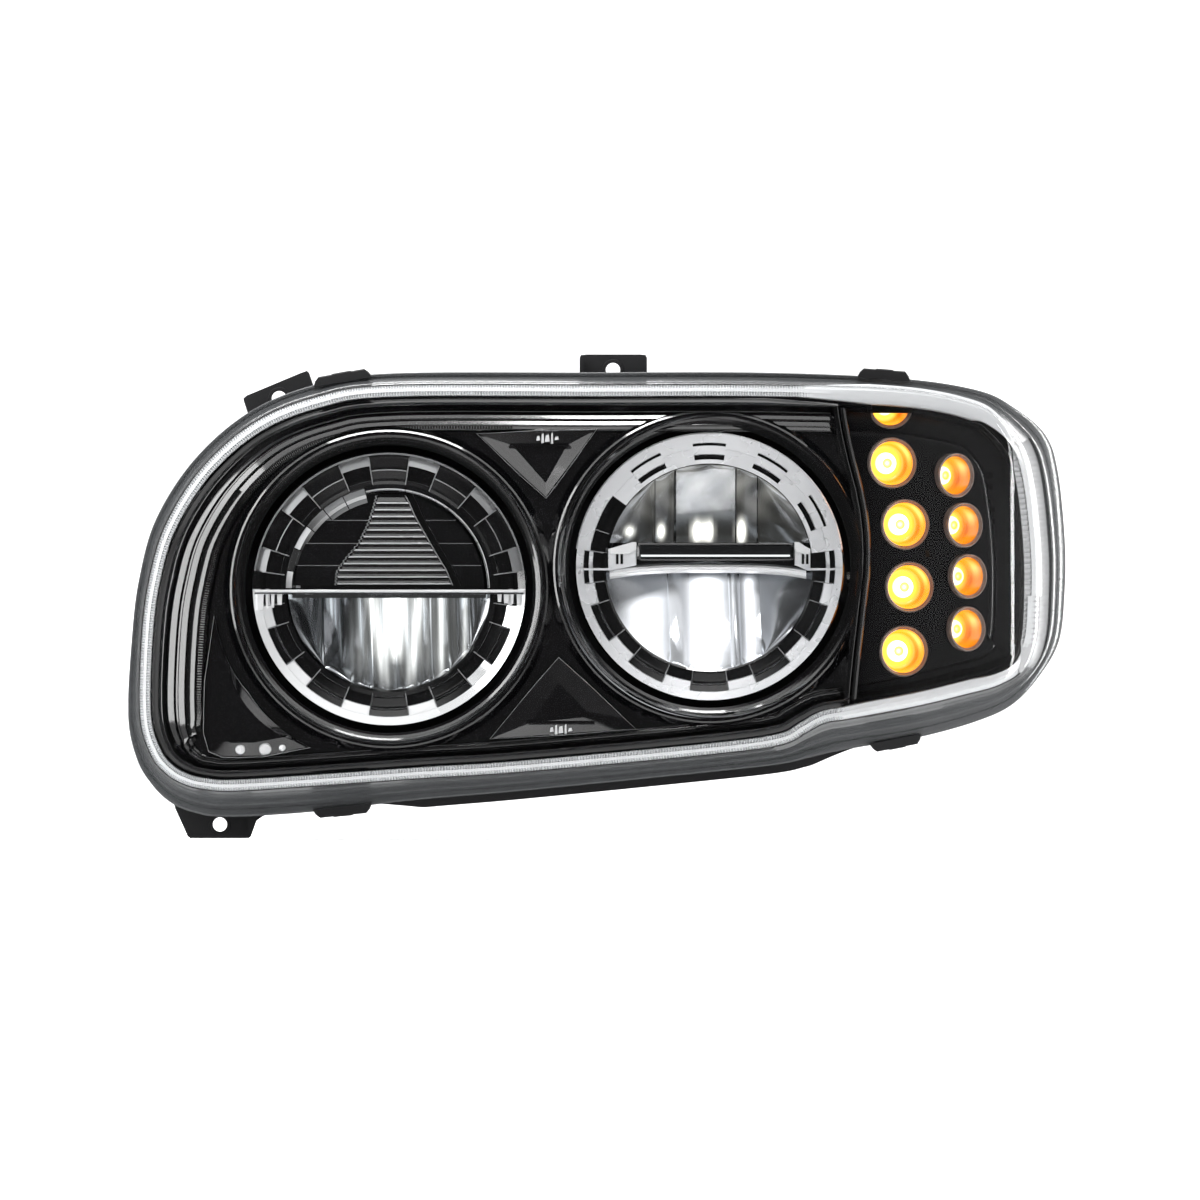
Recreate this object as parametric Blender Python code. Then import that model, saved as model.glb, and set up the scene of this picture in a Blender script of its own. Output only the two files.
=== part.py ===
"""Left-hand LED headlight assembly for a heavy truck, as separate pieces.

Frame: millimetres in the constants, metres in the scene. +X points outboard, +Y rearwards,
+Z up. The origin is the centre of the lamp's overall box.
"""
import math

import bmesh
import bpy
from mathutils import Matrix, Vector

MM = 0.001
TAU = 2.0 * math.pi

# ---- Driving dimensions, millimetres ----
HALF_DEPTH = 125.0          # overall box: 660 wide, 340 high, 250 deep
GAP = 0.3                   # clearance between touching pieces
AROUND = 40                 # points round the lens outline
ROUND = 24                  # sides of the lamps' turned pieces

LOW = (-146.2, 5.1)         # low-beam axis (x, z)
HIGH = (78.5, 20.6)         # high-beam axis (x, z)
LOW_FRONT = -98.0           # front plane of the low-beam ring
HIGH_FRONT = -86.0          # front plane of the high-beam ring
LOW_RING_R = 96.5
HIGH_RING_R = 94.5
LAMP_R = 70.0               # inner opening of both rings
BEZEL_HOLE_PLAY = 4.5       # room for the rings to tilt inside the bezel

SWEEP = 150.0               # how far the face sweeps back at the outboard end
SWEEP_FROM = -180.0
SWEEP_SPAN = 510.0
RIM_FRONT = -88.0           # lens flange depth at the inboard end
RIM_SWEEP = 148.0
LENS_T = 3.0
FLANGE_T = 4.0
SEAL_T = 1.6

BACK_Y = 85.0               # outer face of the housing's back wall
WALL = 3.0

TILT_Y = -20.0              # tilt axis: parallel to X through the ball centres
TILT_Z = 12.0
PIVOT_LEFT_X = -268.0
PIVOT_RIGHT_X = 190.0
BALL_R = 6.0
SOCKET_R = 6.3
SOCKET_LIP = 5.0            # from a ball's centre to the mouth of its socket
NECK_R = 3.0
SCREW_X = -34.0             # adjuster screw axis, parallel to Y
SCREW_Z = -80.0
DRIVE_Y = 106.0             # drive shaft axis, parallel to Z
CARRIER_FRONT = -62.0
CARRIER_BACK = -57.0

BEZEL_BACK = 11.0           # from the lens's outer face to the bezel
PLATE_BACK = 30.0           # to the turn reflector's plate
BOARD_BACK = 38.0           # to the turn-signal board
PLATE_T = 2.5
PLATE_INNER_X = 185.0       # inboard edges of the turn reflector and its board
BOARD_INNER_X = 187.0
BOARD_T = 1.6
CUP_T = 2.5
CUP_PLAY = 0.6              # between a cup and its opening in the turn bezel
LOW_COLLAR_BACK = -74.0     # rear edges of the bezel's collars
HIGH_COLLAR_BACK = -68.0
BEZEL_T = 3.0
BEZEL_REAR = -2.0           # rear edge of both bezels, from the rim plane
FAR = 400.0                 # beyond the lamp on every side
TURN_YAW = (16.0, 37.0)     # degrees outboard, inner and outer column
TURN_CUPS = (               # x, z, column and outer radius of each cup
    (206.0, 122.0, 0, 8.5), (207.0, 92.5, 0, 17.5), (216.0, 51.0, 0, 18.0), (219.0, 7.0, 0, 18.0),
    (215.0, -38.0, 0, 18.0), (252.0, 85.0, 1, 16.5), (258.0, 50.0, 1, 16.5),
    (261.0, 14.0, 1, 16.5), (260.0, -23.0, 1, 16.5),
)
TURN_SEAM = ((164.0, 200.0), (168.7, 126.3), (190.5, 44.5), (177.2, -68.8), (170.0, -200.0))

# Outline, clockwise from the inboard side: rim (flange edge) x, z, then face edge x, z
OUTLINE = [
    (-329.5, -84.0, -321.5, -84.0), (-327.0, -31.0, -320.5, -31.0), (-322.0, 11.0, -315.5, 10.0),
    (-310.0, 54.0, -303.5, 50.5), (-283.0, 96.0, -277.5, 91.0), (-245.0, 129.0, -241.0, 122.5),
    (-200.0, 148.0, -197.5, 140.5), (-146.0, 156.5, -145.0, 148.5), (0.0, 157.2, 0.0, 148.8),
    (120.0, 157.2, 120.0, 148.8), (214.0, 153.2, 213.0, 145.5), (268.4, 145.0, 263.0, 136.5),
    (293.6, 133.0, 283.0, 124.5), (316.0, 114.0, 299.0, 103.0), (325.0, 88.0, 306.0, 77.0),
    (330.0, 40.0, 310.5, 35.0), (330.0, 5.0, 311.0, 0.0), (326.0, -31.0, 309.0, -30.0),
    (312.0, -56.0, 301.0, -51.0), (292.7, -76.3, 283.0, -63.0), (267.0, -88.2, 258.0, -70.0),
    (227.6, -99.0, 224.0, -78.0), (188.0, -105.5, 178.0, -86.5), (168.0, -109.0, 160.0, -89.5),
    (148.3, -113.5, 147.0, -96.0), (128.6, -117.9, 128.6, -104.8), (80.0, -123.3, 80.0, -111.5),
    (-53.2, -136.5, -53.2, -123.8), (-126.0, -142.8, -126.0, -128.5),
    (-201.6, -151.5, -201.6, -133.9), (-261.0, -154.8, -255.5, -137.2),
    (-284.0, -151.5, -276.0, -136.0), (-300.0, -144.5, -290.0, -132.5),
    (-313.0, -132.0, -303.0, -125.0), (-323.5, -114.0, -314.0, -111.0),
]


# ---- Outline and surfaces ----
def spline(points, steps):
    """Closed Catmull-Rom curve through points of any dimension."""
    count = len(points)
    curve = []
    for i in range(count):
        a, b, c, d = (points[(i + k - 1) % count] for k in range(4))
        for s in range(steps):
            t = s / steps
            curve.append(tuple(
                0.5 * (2 * q + (r - p) * t + (2 * p - 5 * q + 4 * r - v) * t * t
                       + (3 * q - p - 3 * r + v) * t ** 3)
                for p, q, r, v in zip(a, b, c, d)))
    return curve


def outline_samples(count):
    """Points round the outline, closer together where it turns sharply."""
    dense = spline(OUTLINE, 24)
    total = len(dense)
    weights = [0.0]
    for i in range(total):
        p, q, r = dense[i - 1], dense[i], dense[(i + 1) % total]
        length = math.hypot(r[0] - q[0], r[1] - q[1])
        turn = abs(math.remainder(math.atan2(r[1] - q[1], r[0] - q[0])
                                  - math.atan2(q[1] - p[1], q[0] - p[0]), TAU))
        weights.append(weights[-1] + length + 60.0 * turn)
    samples = []
    j = 0
    for k in range(count):
        target = weights[-1] * k / count
        while weights[j + 1] < target:
            j += 1
        t = (target - weights[j]) / (weights[j + 1] - weights[j])
        p, q = dense[j % total], dense[(j + 1) % total]
        samples.append(tuple(u + (v - u) * t for u, v in zip(p, q)))
    return samples


def face_y(x, z):
    """Depth of the lens's outer face."""
    u = max(0.0, (x - SWEEP_FROM) / SWEEP_SPAN)
    corner = max(0.0, x - 285.0)
    inboard = max(0.0, -200.0 - x)
    return (-HALF_DEPTH + SWEEP * u ** 4.5 + 0.015 * corner ** 2 + 0.0008 * inboard ** 2
            + 0.00035 * (z + 60.0) ** 2)


def rim_y(x):
    """Depth of the lens flange's front, which follows the wing's edge."""
    u = max(0.0, (x - SWEEP_FROM) / SWEEP_SPAN)
    return RIM_FRONT + RIM_SWEEP * u ** 3.6


SAMPLES = outline_samples(AROUND)


def rim_loop(fraction):
    """Loop between the rim (0) and the face edge (1)."""
    return [(rx + (fx - rx) * fraction, rz + (fz - rz) * fraction) for rx, rz, fx, fz in SAMPLES]


def face_loop(inset):
    """Loop inside the face edge."""
    edge = rim_loop(1.0)
    count = len(edge)
    loop = []
    for i, (x, z) in enumerate(edge):
        dx = edge[(i + 1) % count][0] - edge[i - 1][0]
        dz = edge[(i + 1) % count][1] - edge[i - 1][1]
        size = math.hypot(dx, dz)
        loop.append((x + dz / size * inset, z - dx / size * inset))
    return loop


def shrink(loop, factor):
    return [(x * factor, z * factor) for x, z in loop]


def housing_drop(x, z):
    """The housing's edge shows below the lens along the middle of the bottom."""
    if z > -80.0:
        return 0.0
    rise = min(1.0, max(0.0, (x + 152.0) / 30.0))
    fall = min(1.0, max(0.0, (180.0 - x) / 30.0))
    return -6.0 * min(rise, fall)


# ---- Building tools ----
def material(name, colour, roughness, metallic=0.0):
    made = bpy.data.materials.new(name)
    made.use_nodes = True
    shader = made.node_tree.nodes["Principled BSDF"]
    shader.inputs["Base Color"].default_value = (*colour, 1.0)
    shader.inputs["Roughness"].default_value = roughness
    shader.inputs["Metallic"].default_value = metallic
    return made


FINISHES = {
    "clear": ((0.85, 0.87, 0.88), 0.05, 0.0),
    "gloss_black": ((0.01, 0.01, 0.011), 0.12, 0.0),
    "matte_black": ((0.02, 0.02, 0.021), 0.55, 0.0),
    "chrome": ((0.86, 0.87, 0.88), 0.08, 1.0),
    "amber": ((1.0, 0.42, 0.03), 0.2, 0.0),
    "board": ((0.03, 0.12, 0.05), 0.4, 0.0),
    "alloy": ((0.62, 0.63, 0.65), 0.35, 1.0),
    "steel": ((0.5, 0.5, 0.52), 0.3, 1.0),
    "rubber": ((0.03, 0.03, 0.03), 0.8, 0.0),
    "nylon": ((0.75, 0.74, 0.70), 0.45, 0.0),
}


def make(name, vertices, faces, finish, parent=None):
    """A named object from points in millimetres, each with a material of its own."""
    mesh = bpy.data.meshes.new(name)
    mesh.from_pydata([Vector(v) * MM for v in vertices], [], faces)
    shape = bmesh.new()
    shape.from_mesh(mesh)
    bmesh.ops.triangulate(shape, faces=shape.faces)
    bmesh.ops.recalc_face_normals(shape, faces=shape.faces)
    shape.to_mesh(mesh)
    shape.free()
    made = bpy.data.objects.new(name, mesh)
    bpy.context.scene.collection.objects.link(made)
    if finish:
        mesh.materials.append(material(name + "_" + finish, *FINISHES[finish]))
        mesh.shade_smooth()
        mesh.set_sharp_from_angle(angle=math.radians(35.0))
    if parent:
        hang(made, parent)
    return made


def hang(made, parent):
    """Parents a piece and moves its mesh so that its origin is the parent's."""
    made.data.transform(Matrix.Translation(-parent.location))
    made.parent = parent


def empty(name, x, y, z):
    made = bpy.data.objects.new(name, None)
    made.location = (x * MM, y * MM, z * MM)
    bpy.context.scene.collection.objects.link(made)
    return made


def loft(name, loops, finish, closed=False, parent=None):
    """Bridges loops of equal length; closed joins the last to the first, else ends are filled.

    A loop of one point closes an end as a fan.
    """
    vertices = []
    starts = []
    for loop in loops:
        starts.append(len(vertices))
        vertices.extend(loop)
    faces = []
    pairs = list(zip(range(len(loops) - 1), range(1, len(loops))))
    if closed:
        pairs.append((len(loops) - 1, 0))
    for a, b in pairs:
        na, nb = len(loops[a]), len(loops[b])
        for i in range(max(na, nb)):
            j = (i + 1) % max(na, nb)
            if na == 1:
                faces.append((starts[a], starts[b] + i, starts[b] + j))
            elif nb == 1:
                faces.append((starts[a] + i, starts[b], starts[a] + j))
            else:
                faces.append((starts[a] + i, starts[a] + j, starts[b] + j, starts[b] + i))
    if not closed:
        for k in (0, len(loops) - 1):
            if len(loops[k]) > 1:
                faces.append(tuple(range(starts[k], starts[k] + len(loops[k]))))
    return make(name, vertices, faces, finish, parent)


def turned(name, profile, centre, axis, finish, sides=ROUND, parent=None):
    """Turns (radius, position along axis) points about an axis through centre."""
    along = Vector(axis).normalized()
    side = along.cross(Vector((0, 0, 1)) if abs(along.z) < 0.9 else Vector((0, 1, 0))).normalized()
    up = along.cross(side)
    middle = Vector(centre)
    loops = []
    for radius, position in profile:
        at = middle + along * position
        if radius < 1e-6:
            loops.append([at])
        else:
            loops.append([at + (side * math.cos(TAU * k / sides) + up * math.sin(TAU * k / sides))
                          * radius for k in range(sides)])
    ring = len(loops[0]) > 1 and len(loops[-1]) > 1
    return loft(name, loops, finish, closed=ring, parent=parent)


def rod(name, radius, centre, axis, low, high, finish=None, sides=20, parent=None):
    return turned(name, [(0, low), (radius, low), (radius, high), (0, high)], centre, axis,
                  finish, sides, parent)


def box(name, low, high, finish=None, parent=None):
    (x0, y0, z0), (x1, y1, z1) = low, high
    base = [(x0, y0, z0), (x1, y0, z0), (x1, y0, z1), (x0, y0, z1)]
    return loft(name, [base, [(x, y1, z) for x, _, z in base]], finish, parent=parent)


def prism(name, outline, y0, y1, finish=None, parent=None):
    """Outline of (x, z) points extruded from y0 to y1."""
    return loft(name, [[(x, y0, z) for x, z in outline], [(x, y1, z) for x, z in outline]],
                finish, parent=parent)


def combine(target, tool, operation):
    """Applies a Boolean and removes the tool."""
    modifier = target.modifiers.new("combine", "BOOLEAN")
    modifier.operation = operation
    modifier.object = tool
    modifier.solver = "EXACT"
    bpy.context.view_layer.update()
    evaluated = target.evaluated_get(bpy.context.evaluated_depsgraph_get())
    mesh = bpy.data.meshes.new_from_object(evaluated)
    target.modifiers.clear()
    target.data = mesh
    bpy.data.objects.remove(tool)
    return target


def cut(target, tool):
    return combine(target, tool, "DIFFERENCE")


def join(target, tool):
    return combine(target, tool, "UNION")


def regular(radius, sides, centre, turn=0.0):
    return [(centre[0] + radius * math.cos(TAU * k / sides + turn),
             centre[1] + radius * math.sin(TAU * k / sides + turn)) for k in range(sides)]


# ---- Lens, seal, housing ----
SHELL_STEPS = (0.3, 0.55, 0.76, 0.9)
PLATE_STEPS = (0.6, 0.84)


def on_face(loop, back):
    return [(x, face_y(x, z) + back, z) for x, z in loop]


def on_rim(loop, back):
    return [(x, rim_y(x) + back, z) for x, z in loop]


def dome(edge, back, steps=SHELL_STEPS):
    """Loops that fill the face from its middle to an edge loop."""
    loops = [[(0.0, face_y(0.0, 0.0) + back, 0.0)]]
    for factor in steps:
        loops.append(on_face(shrink(edge, factor), back))
    loops.append(on_face(edge, back))
    return loops


def build_lens():
    edge = face_loop(12.0)
    outside = dome(edge, 0.0) + [
        on_face(face_loop(3.0), 0.8), on_face(face_loop(0.0), 4.5),
        on_rim(rim_loop(0.5), 0.0), on_rim(rim_loop(0.0), 0.0)]
    inside = dome(edge, LENS_T) + [
        on_face(face_loop(4.0), 7.5), on_rim(rim_loop(0.75), FLANGE_T),
        on_rim(rim_loop(0.0), FLANGE_T)]
    return loft("lens", outside + inside[::-1], "clear")


SEAL_FRONT = FLANGE_T + GAP
HOUSING_FRONT = SEAL_FRONT + SEAL_T + GAP


def build_seal():
    loops = [on_rim(rim_loop(0.15), SEAL_FRONT), on_rim(rim_loop(0.15), SEAL_FRONT + SEAL_T),
             on_rim(rim_loop(0.55), SEAL_FRONT + SEAL_T), on_rim(rim_loop(0.55), SEAL_FRONT)]
    return loft("lens_seal", loops, "rubber", closed=True)


BUCKET = ((1.0, 1.0, 0.0), (0.965, 0.93, 0.45), (0.93, 0.86, 0.9), (0.9, 0.82, 1.0))


def bucket_loop(stage, inset, back_y):
    """The bucket's wall shrinks from the rim towards the back wall."""
    scale_x, scale_z, share = BUCKET[stage]
    loop = []
    for x, z in rim_loop(0.9):
        near = rim_y(x) + HOUSING_FRONT + 8.0
        keep = 1.0 - inset / math.hypot(x, z)
        loop.append((x * scale_x * keep, near + (back_y - near) * share, z * scale_z * keep))
    return loop


def dropped(loop):
    return [(x, y, z + housing_drop(x, z)) for x, y, z in loop]


def wall_fan(inset, y):
    loop = bucket_loop(3, inset, y)
    return [[(0.0, y, 0.0)], [(x * 0.45, y, z * 0.45) for x, _, z in loop]]


TABS = (                    # outline (x, z), hole centre and hole radius
    (((-12.6, 132.0), (34.8, 132.0), (34.8, 170.0), (-12.6, 170.0)), (10.9, 159.0), 5.0),
    (((-238.0, 105.0), (-249.0, 139.6), (-203.0, 158.5), (-190.0, 120.0)), (-223.6, 139.0), 5.2),
    (((-290.0, -120.0), (-243.0, -120.0), (-242.7, -168.0), (-244.8, -170.0), (-287.0, -170.0),
      (-298.0, -146.0)), (-265.2, -160.3), 4.9),
)
TAB_BACK = 26.0             # from the rim plane to a tab's rear face
TAB_T = 6.0

COVER = (LOW[0], LOW[1])    # rear service cover's centre
COVER_HOLE_R = 48.0
COVER_R = 68.0
COVER_SCREW_R = 64.0
SEAT_Y = BACK_Y + 2.2       # pieces with a gasket seat here
DRIVER_X = (25.0, 155.0)
DRIVER_Z = (-25.0, 60.0)
DRIVER_PLUG = (90.0, 18.0, 16.0)
DRIVER_SCREWS = ((31.0, -17.0), (31.0, 52.0), (149.0, -17.0), (149.0, 52.0))
INLET = (-34.0, 70.0)
VENT = (225.0, 55.0)
SHANK_R = 1.8
SHANK_HOLE_R = 2.3


def cover_screws():
    return [(COVER[0] + COVER_SCREW_R * math.cos(a), COVER[1] + COVER_SCREW_R * math.sin(a))
            for a in (TAU * (0.125 + 0.25 * k) for k in range(4))]


def build_housing():
    outside = wall_fan(0.0, BACK_Y) + [
        bucket_loop(3, 0.0, BACK_Y), bucket_loop(2, 0.0, BACK_Y), bucket_loop(1, 0.0, BACK_Y),
        bucket_loop(0, 0.0, BACK_Y), dropped(on_rim(rim_loop(0.0), HOUSING_FRONT + 5.0)),
        dropped(on_rim(rim_loop(0.0), HOUSING_FRONT))]
    inner_y = BACK_Y - WALL
    inside = wall_fan(WALL, inner_y) + [
        bucket_loop(3, WALL, inner_y), bucket_loop(2, WALL, inner_y), bucket_loop(1, WALL, inner_y),
        bucket_loop(0, WALL, inner_y), on_rim(rim_loop(1.0), HOUSING_FRONT)]
    housing = loft("housing", outside + inside[::-1], "matte_black")
    for outline, hole, radius in TABS:
        rear = rim_y(hole[0]) + TAB_BACK
        join(housing, prism("tab", outline, rear - TAB_T, rear))
        cut(housing, rod("hole", radius, (hole[0], rear, hole[1]), (0, 1, 0), -TAB_T - 3.0, 5.0))
    through = (-6.0, 3.0)
    for (x, z), radius in ([(COVER, COVER_HOLE_R), (DRIVER_PLUG[:2], DRIVER_PLUG[2] + 1.0),
                            ((SCREW_X, SCREW_Z), 6.0), (VENT, 5.0)]
                           + [(at, SHANK_HOLE_R) for at in cover_screws()]
                           + [(at, SHANK_HOLE_R) for at in DRIVER_SCREWS]):
        sides = 24 if radius > 10.0 else 8
        cut(housing, rod("hole", radius, (x, BACK_Y, z), (0, 1, 0), *through, sides=sides))
    cut(housing, box("hole", (INLET[0] - 15.5, BACK_Y - 6.0, INLET[1] - 7.5),
                     (INLET[0] + 15.5, BACK_Y + 3.0, INLET[1] + 7.5)))
    return housing


CLIPS = (                   # x, z of each clip's middle on the rim
    (-179.0, 152.2), (201.5, 154.6), (-179.0, -149.3), (210.0, -102.1),
)


def build_clips():
    """C-shaped clips that pinch the lens flange to the housing rim."""
    for number, (x, z) in enumerate(CLIPS, 1):
        nearest = min(range(AROUND), key=lambda i: math.hypot(SAMPLES[i][0] - x, SAMPLES[i][1] - z))
        a, b = SAMPLES[nearest - 1], SAMPLES[(nearest + 1) % AROUND]
        along = Vector((b[0] - a[0], rim_y(b[0]) - rim_y(a[0]), b[1] - a[1])).normalized()
        out = Vector((-along.z, 0.0, along.x)).normalized()
        if out.z * z < 0.0:
            out = -out
        front = rim_y(x) - 3.4
        back = rim_y(x) + HOUSING_FRONT + 8.4
        drop = -housing_drop(x, z) if z < 0.0 else 0.0
        low, high, grip = 2.0 + drop, 5.2 + drop, -1.8
        section = [(grip, front), (high, front), (high, back + 2.5), (grip + drop, back + 2.5),
                   (grip + drop, back), (low, back), (low, front + 2.6), (grip, front + 2.6)]
        loops = []
        for end in (-1.0, 1.0):
            loops.append([Vector((x, 0.0, z)) + along * end * (21.0 - 0.9 * max(0.0, u))
                          + out * u + Vector((0.0, y, 0.0)) for u, y in section])
        loft(f"lens_clip_{number}", loops, "matte_black")


# ---- Bezels and turn signal ----
def bezel_blank(name, finish):
    edge = face_loop(14.0)
    outside = dome(edge, BEZEL_BACK) + [
        on_face(face_loop(9.5), BEZEL_BACK + BEZEL_T), on_rim(face_loop(9.0), BEZEL_REAR)]
    inside = dome(edge, BEZEL_BACK + BEZEL_T) + [
        on_face(face_loop(12.0), BEZEL_BACK + 2.0 * BEZEL_T), on_rim(face_loop(11.5), BEZEL_REAR)]
    return loft(name, outside + inside[::-1], finish)


def collar(centre, hole_r, back_y):
    """Tube behind a lamp opening, whose front follows the bezel."""
    loops = []
    for radius, buried in ((hole_r + 3.0, True), (hole_r + 3.0, False), (hole_r - 1.0, False),
                           (hole_r - 1.0, True)):
        loop = []
        for x, z in regular(radius, ROUND, centre):
            loop.append((x, face_y(x, z) + BEZEL_BACK + 1.6 if buried else back_y, z))
        loops.append(loop)
    return loft("collar", loops, None, closed=True)


def seam_side(outboard):
    """A block that covers one side of the seam between the two bezels."""
    far = FAR if outboard else -FAR
    shift = -GAP if outboard else GAP
    outline = [(x + shift * 0.5, z) for x, z in TURN_SEAM] + [(far, -200.0), (far, 200.0)]
    return prism("seam", outline, -200.0, 200.0)


def lamp_hole(centre, radius):
    return rod("hole", radius, (centre[0], 0.0, centre[1]), (0, 1, 0), -150.0, 20.0, sides=ROUND)


def cup_frame(x, z, column):
    """A cup's mouth centre and the direction into the cup."""
    yaw = math.radians(TURN_YAW[column])
    return (x, face_y(x, z) + BEZEL_BACK + 1.5, z), (-math.sin(yaw), math.cos(yaw), 0.0)


def depth_to(mouth, inward, back):
    """Distance along a cup's axis to the surface that lies back behind the lens's face."""
    reach = 0.0
    while mouth[1] + inward[1] * reach < face_y(mouth[0] + inward[0] * reach, mouth[2]) + back:
        reach += 0.1
    return reach


def build_bezels():
    low_hole = LOW_RING_R + BEZEL_HOLE_PLAY
    high_hole = HIGH_RING_R + BEZEL_HOLE_PLAY
    main = bezel_blank("main_bezel", "gloss_black")
    join(main, collar(LOW, low_hole, LOW_COLLAR_BACK))
    join(main, collar(HIGH, high_hole, HIGH_COLLAR_BACK))
    cut(main, lamp_hole(LOW, low_hole))
    cut(main, lamp_hole(HIGH, high_hole))
    cut(main, seam_side(True))
    turn = bezel_blank("turn_bezel", "gloss_black")
    cut(turn, seam_side(False))
    for x, z, column, radius in TURN_CUPS:
        mouth, inward = cup_frame(x, z, column)
        cut(turn, rod("hole", radius + CUP_PLAY, mouth, inward, -20.0, 12.0, sides=14))


def build_turn_reflector():
    edge = face_loop(13.0)
    plate = loft("turn_reflector", dome(edge, PLATE_BACK, PLATE_STEPS)
                 + dome(edge, PLATE_BACK + PLATE_T, PLATE_STEPS)[::-1], "chrome")
    cut(plate, box("inboard", (-FAR, -FAR, -FAR), (PLATE_INNER_X, FAR, FAR)))
    for x, z, column, radius in TURN_CUPS:
        mouth, inward = cup_frame(x, z, column)
        cut(plate, rod("opening", radius - 1.2, mouth, inward, -5.0, 40.0, sides=12))
        bore = radius - CUP_T
        end = depth_to(mouth, inward, PLATE_BACK + 2.0) + 1.5
        tube = [(bore, -1.0), (bore, end), (radius, end), (radius, -1.0)]
        join(plate, turned("cup", tube, mouth, inward, None, sides=12))
    return plate


def build_turn_board():
    edge = face_loop(20.0)
    board = loft("turn_board", dome(edge, BOARD_BACK, PLATE_STEPS)
                 + dome(edge, BOARD_BACK + BOARD_T, PLATE_STEPS)[::-1], "board")
    return cut(board, box("inboard", (-FAR, -FAR, -FAR), (BOARD_INNER_X, FAR, FAR)))


def build_turn_optics():
    """Amber LED domes, each on a stem that reaches the board."""
    for number, (x, z, column, radius) in enumerate(TURN_CUPS, 1):
        base_r = radius - CUP_T - 0.5
        dome_r = 0.5 * base_r
        mouth, inward = cup_frame(x, z, column)
        reach = depth_to(mouth, inward, BOARD_BACK - 2.0)
        base = depth_to(mouth, inward, PLATE_BACK) - 2.0
        profile = [(0, base - 1.2 * dome_r), (0.7 * dome_r, base - 0.9 * dome_r), (dome_r, base),
                   (base_r, base), (base_r, base + 2.0), (4.0, base + 2.0), (4.0, reach), (0, reach)]
        turned(f"turn_optic_{number}", profile, mouth, inward, "amber", sides=10)


# ---- Aim carrier and lamps (they tilt together) ----
REFLECTOR_R = 68.0
WINDOW_R = 64.0             # carrier openings behind the lamps
POST = (66.0, 24.0)         # heat-sink posts from each lamp's axis
SINK_FRONT = -18.0
SINK_BACK = -12.0
FIN_BACK = 30.0


def build_carrier(tilt):
    front, back = CARRIER_FRONT, CARRIER_BACK
    axis = (0, 1, 0)
    carrier = rod("aim_carrier", LOW_RING_R, (LOW[0], 0, LOW[1]), axis, front, back, "nylon", ROUND)
    join(carrier, rod("disc", HIGH_RING_R, (HIGH[0], 0, HIGH[1]), axis, front, back, sides=ROUND))
    web = ((-110.0, -40.0), (SCREW_X - 14.0, SCREW_Z - 18.0), (SCREW_X + 14.0, SCREW_Z - 18.0),
           (40.0, -30.0), (20.0, 70.0), (-90.0, 60.0))
    join(carrier, prism("web", web, front + 0.5, back - 0.5))
    ears = ((PIVOT_LEFT_X + 16.0, PIVOT_LEFT_X + 21.0, LOW[0] - LOW_RING_R + 8.0),
            (PIVOT_RIGHT_X - 20.0, PIVOT_RIGHT_X - 15.0, HIGH[0] + HIGH_RING_R - 8.0))
    for x0, x1, lamp_edge in ears:
        low, high = min(x0, lamp_edge), max(x1, lamp_edge)
        join(carrier, box("bridge", (low, front + 0.4, TILT_Z - 15.0), (high, back - 0.4, TILT_Z + 15.0)))
        join(carrier, box("ear", (x0, front + 0.8, TILT_Z - 11.0), (x1, TILT_Y + 11.0, TILT_Z + 11.0)))
        cut(carrier, rod("hole", NECK_R + GAP, (x0, TILT_Y, TILT_Z), (1, 0, 0), -3.0, 8.0, sides=12))
    for centre in (LOW, HIGH):
        cut(carrier, rod("window", WINDOW_R, (centre[0], 0, centre[1]), axis, front - 5.0,
                         back + 5.0, sides=ROUND))
    hang(carrier, tilt)


def build_ring(name, centre, front, outer, finish, tilt):
    seat = CARRIER_FRONT - GAP
    profile = [(outer, front + 4), (outer - 2.5, front), (outer - 8, front), (outer - 10, front + 6),
               (outer - 22, front + 9), (LAMP_R, front + 14), (LAMP_R, front + 17),
               (outer - 20, front + 12), (outer - 4, front + 9), (outer - 4, seat), (outer, seat)]
    turned(name, profile, (centre[0], 0, centre[1]), (0, 1, 0), finish, ROUND, tilt)


def bowl(name, centre, front, depth, keep_low, keep_high, tilt):
    """The part of a parabolic bowl between two heights above the lamp's axis."""
    def at(radius):
        return front + depth * (1.0 - (radius / REFLECTOR_R) ** 2)
    inner = [(r, at(r)) for r in (REFLECTOR_R - 2.5, 56.0, 42.0, 24.0)]
    outer = [(r + 2.5, y) for r, y in inner]
    made = turned(name, inner + outer[::-1], (centre[0], 0, centre[1]), (0, 1, 0), "chrome", ROUND)
    z = centre[1]
    cut(made, box("below", (-FAR, -FAR, -FAR), (FAR, FAR, z + keep_low)))
    cut(made, box("above", (-FAR, -FAR, z + keep_high), (FAR, FAR, FAR)))
    hang(made, tilt)


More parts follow.
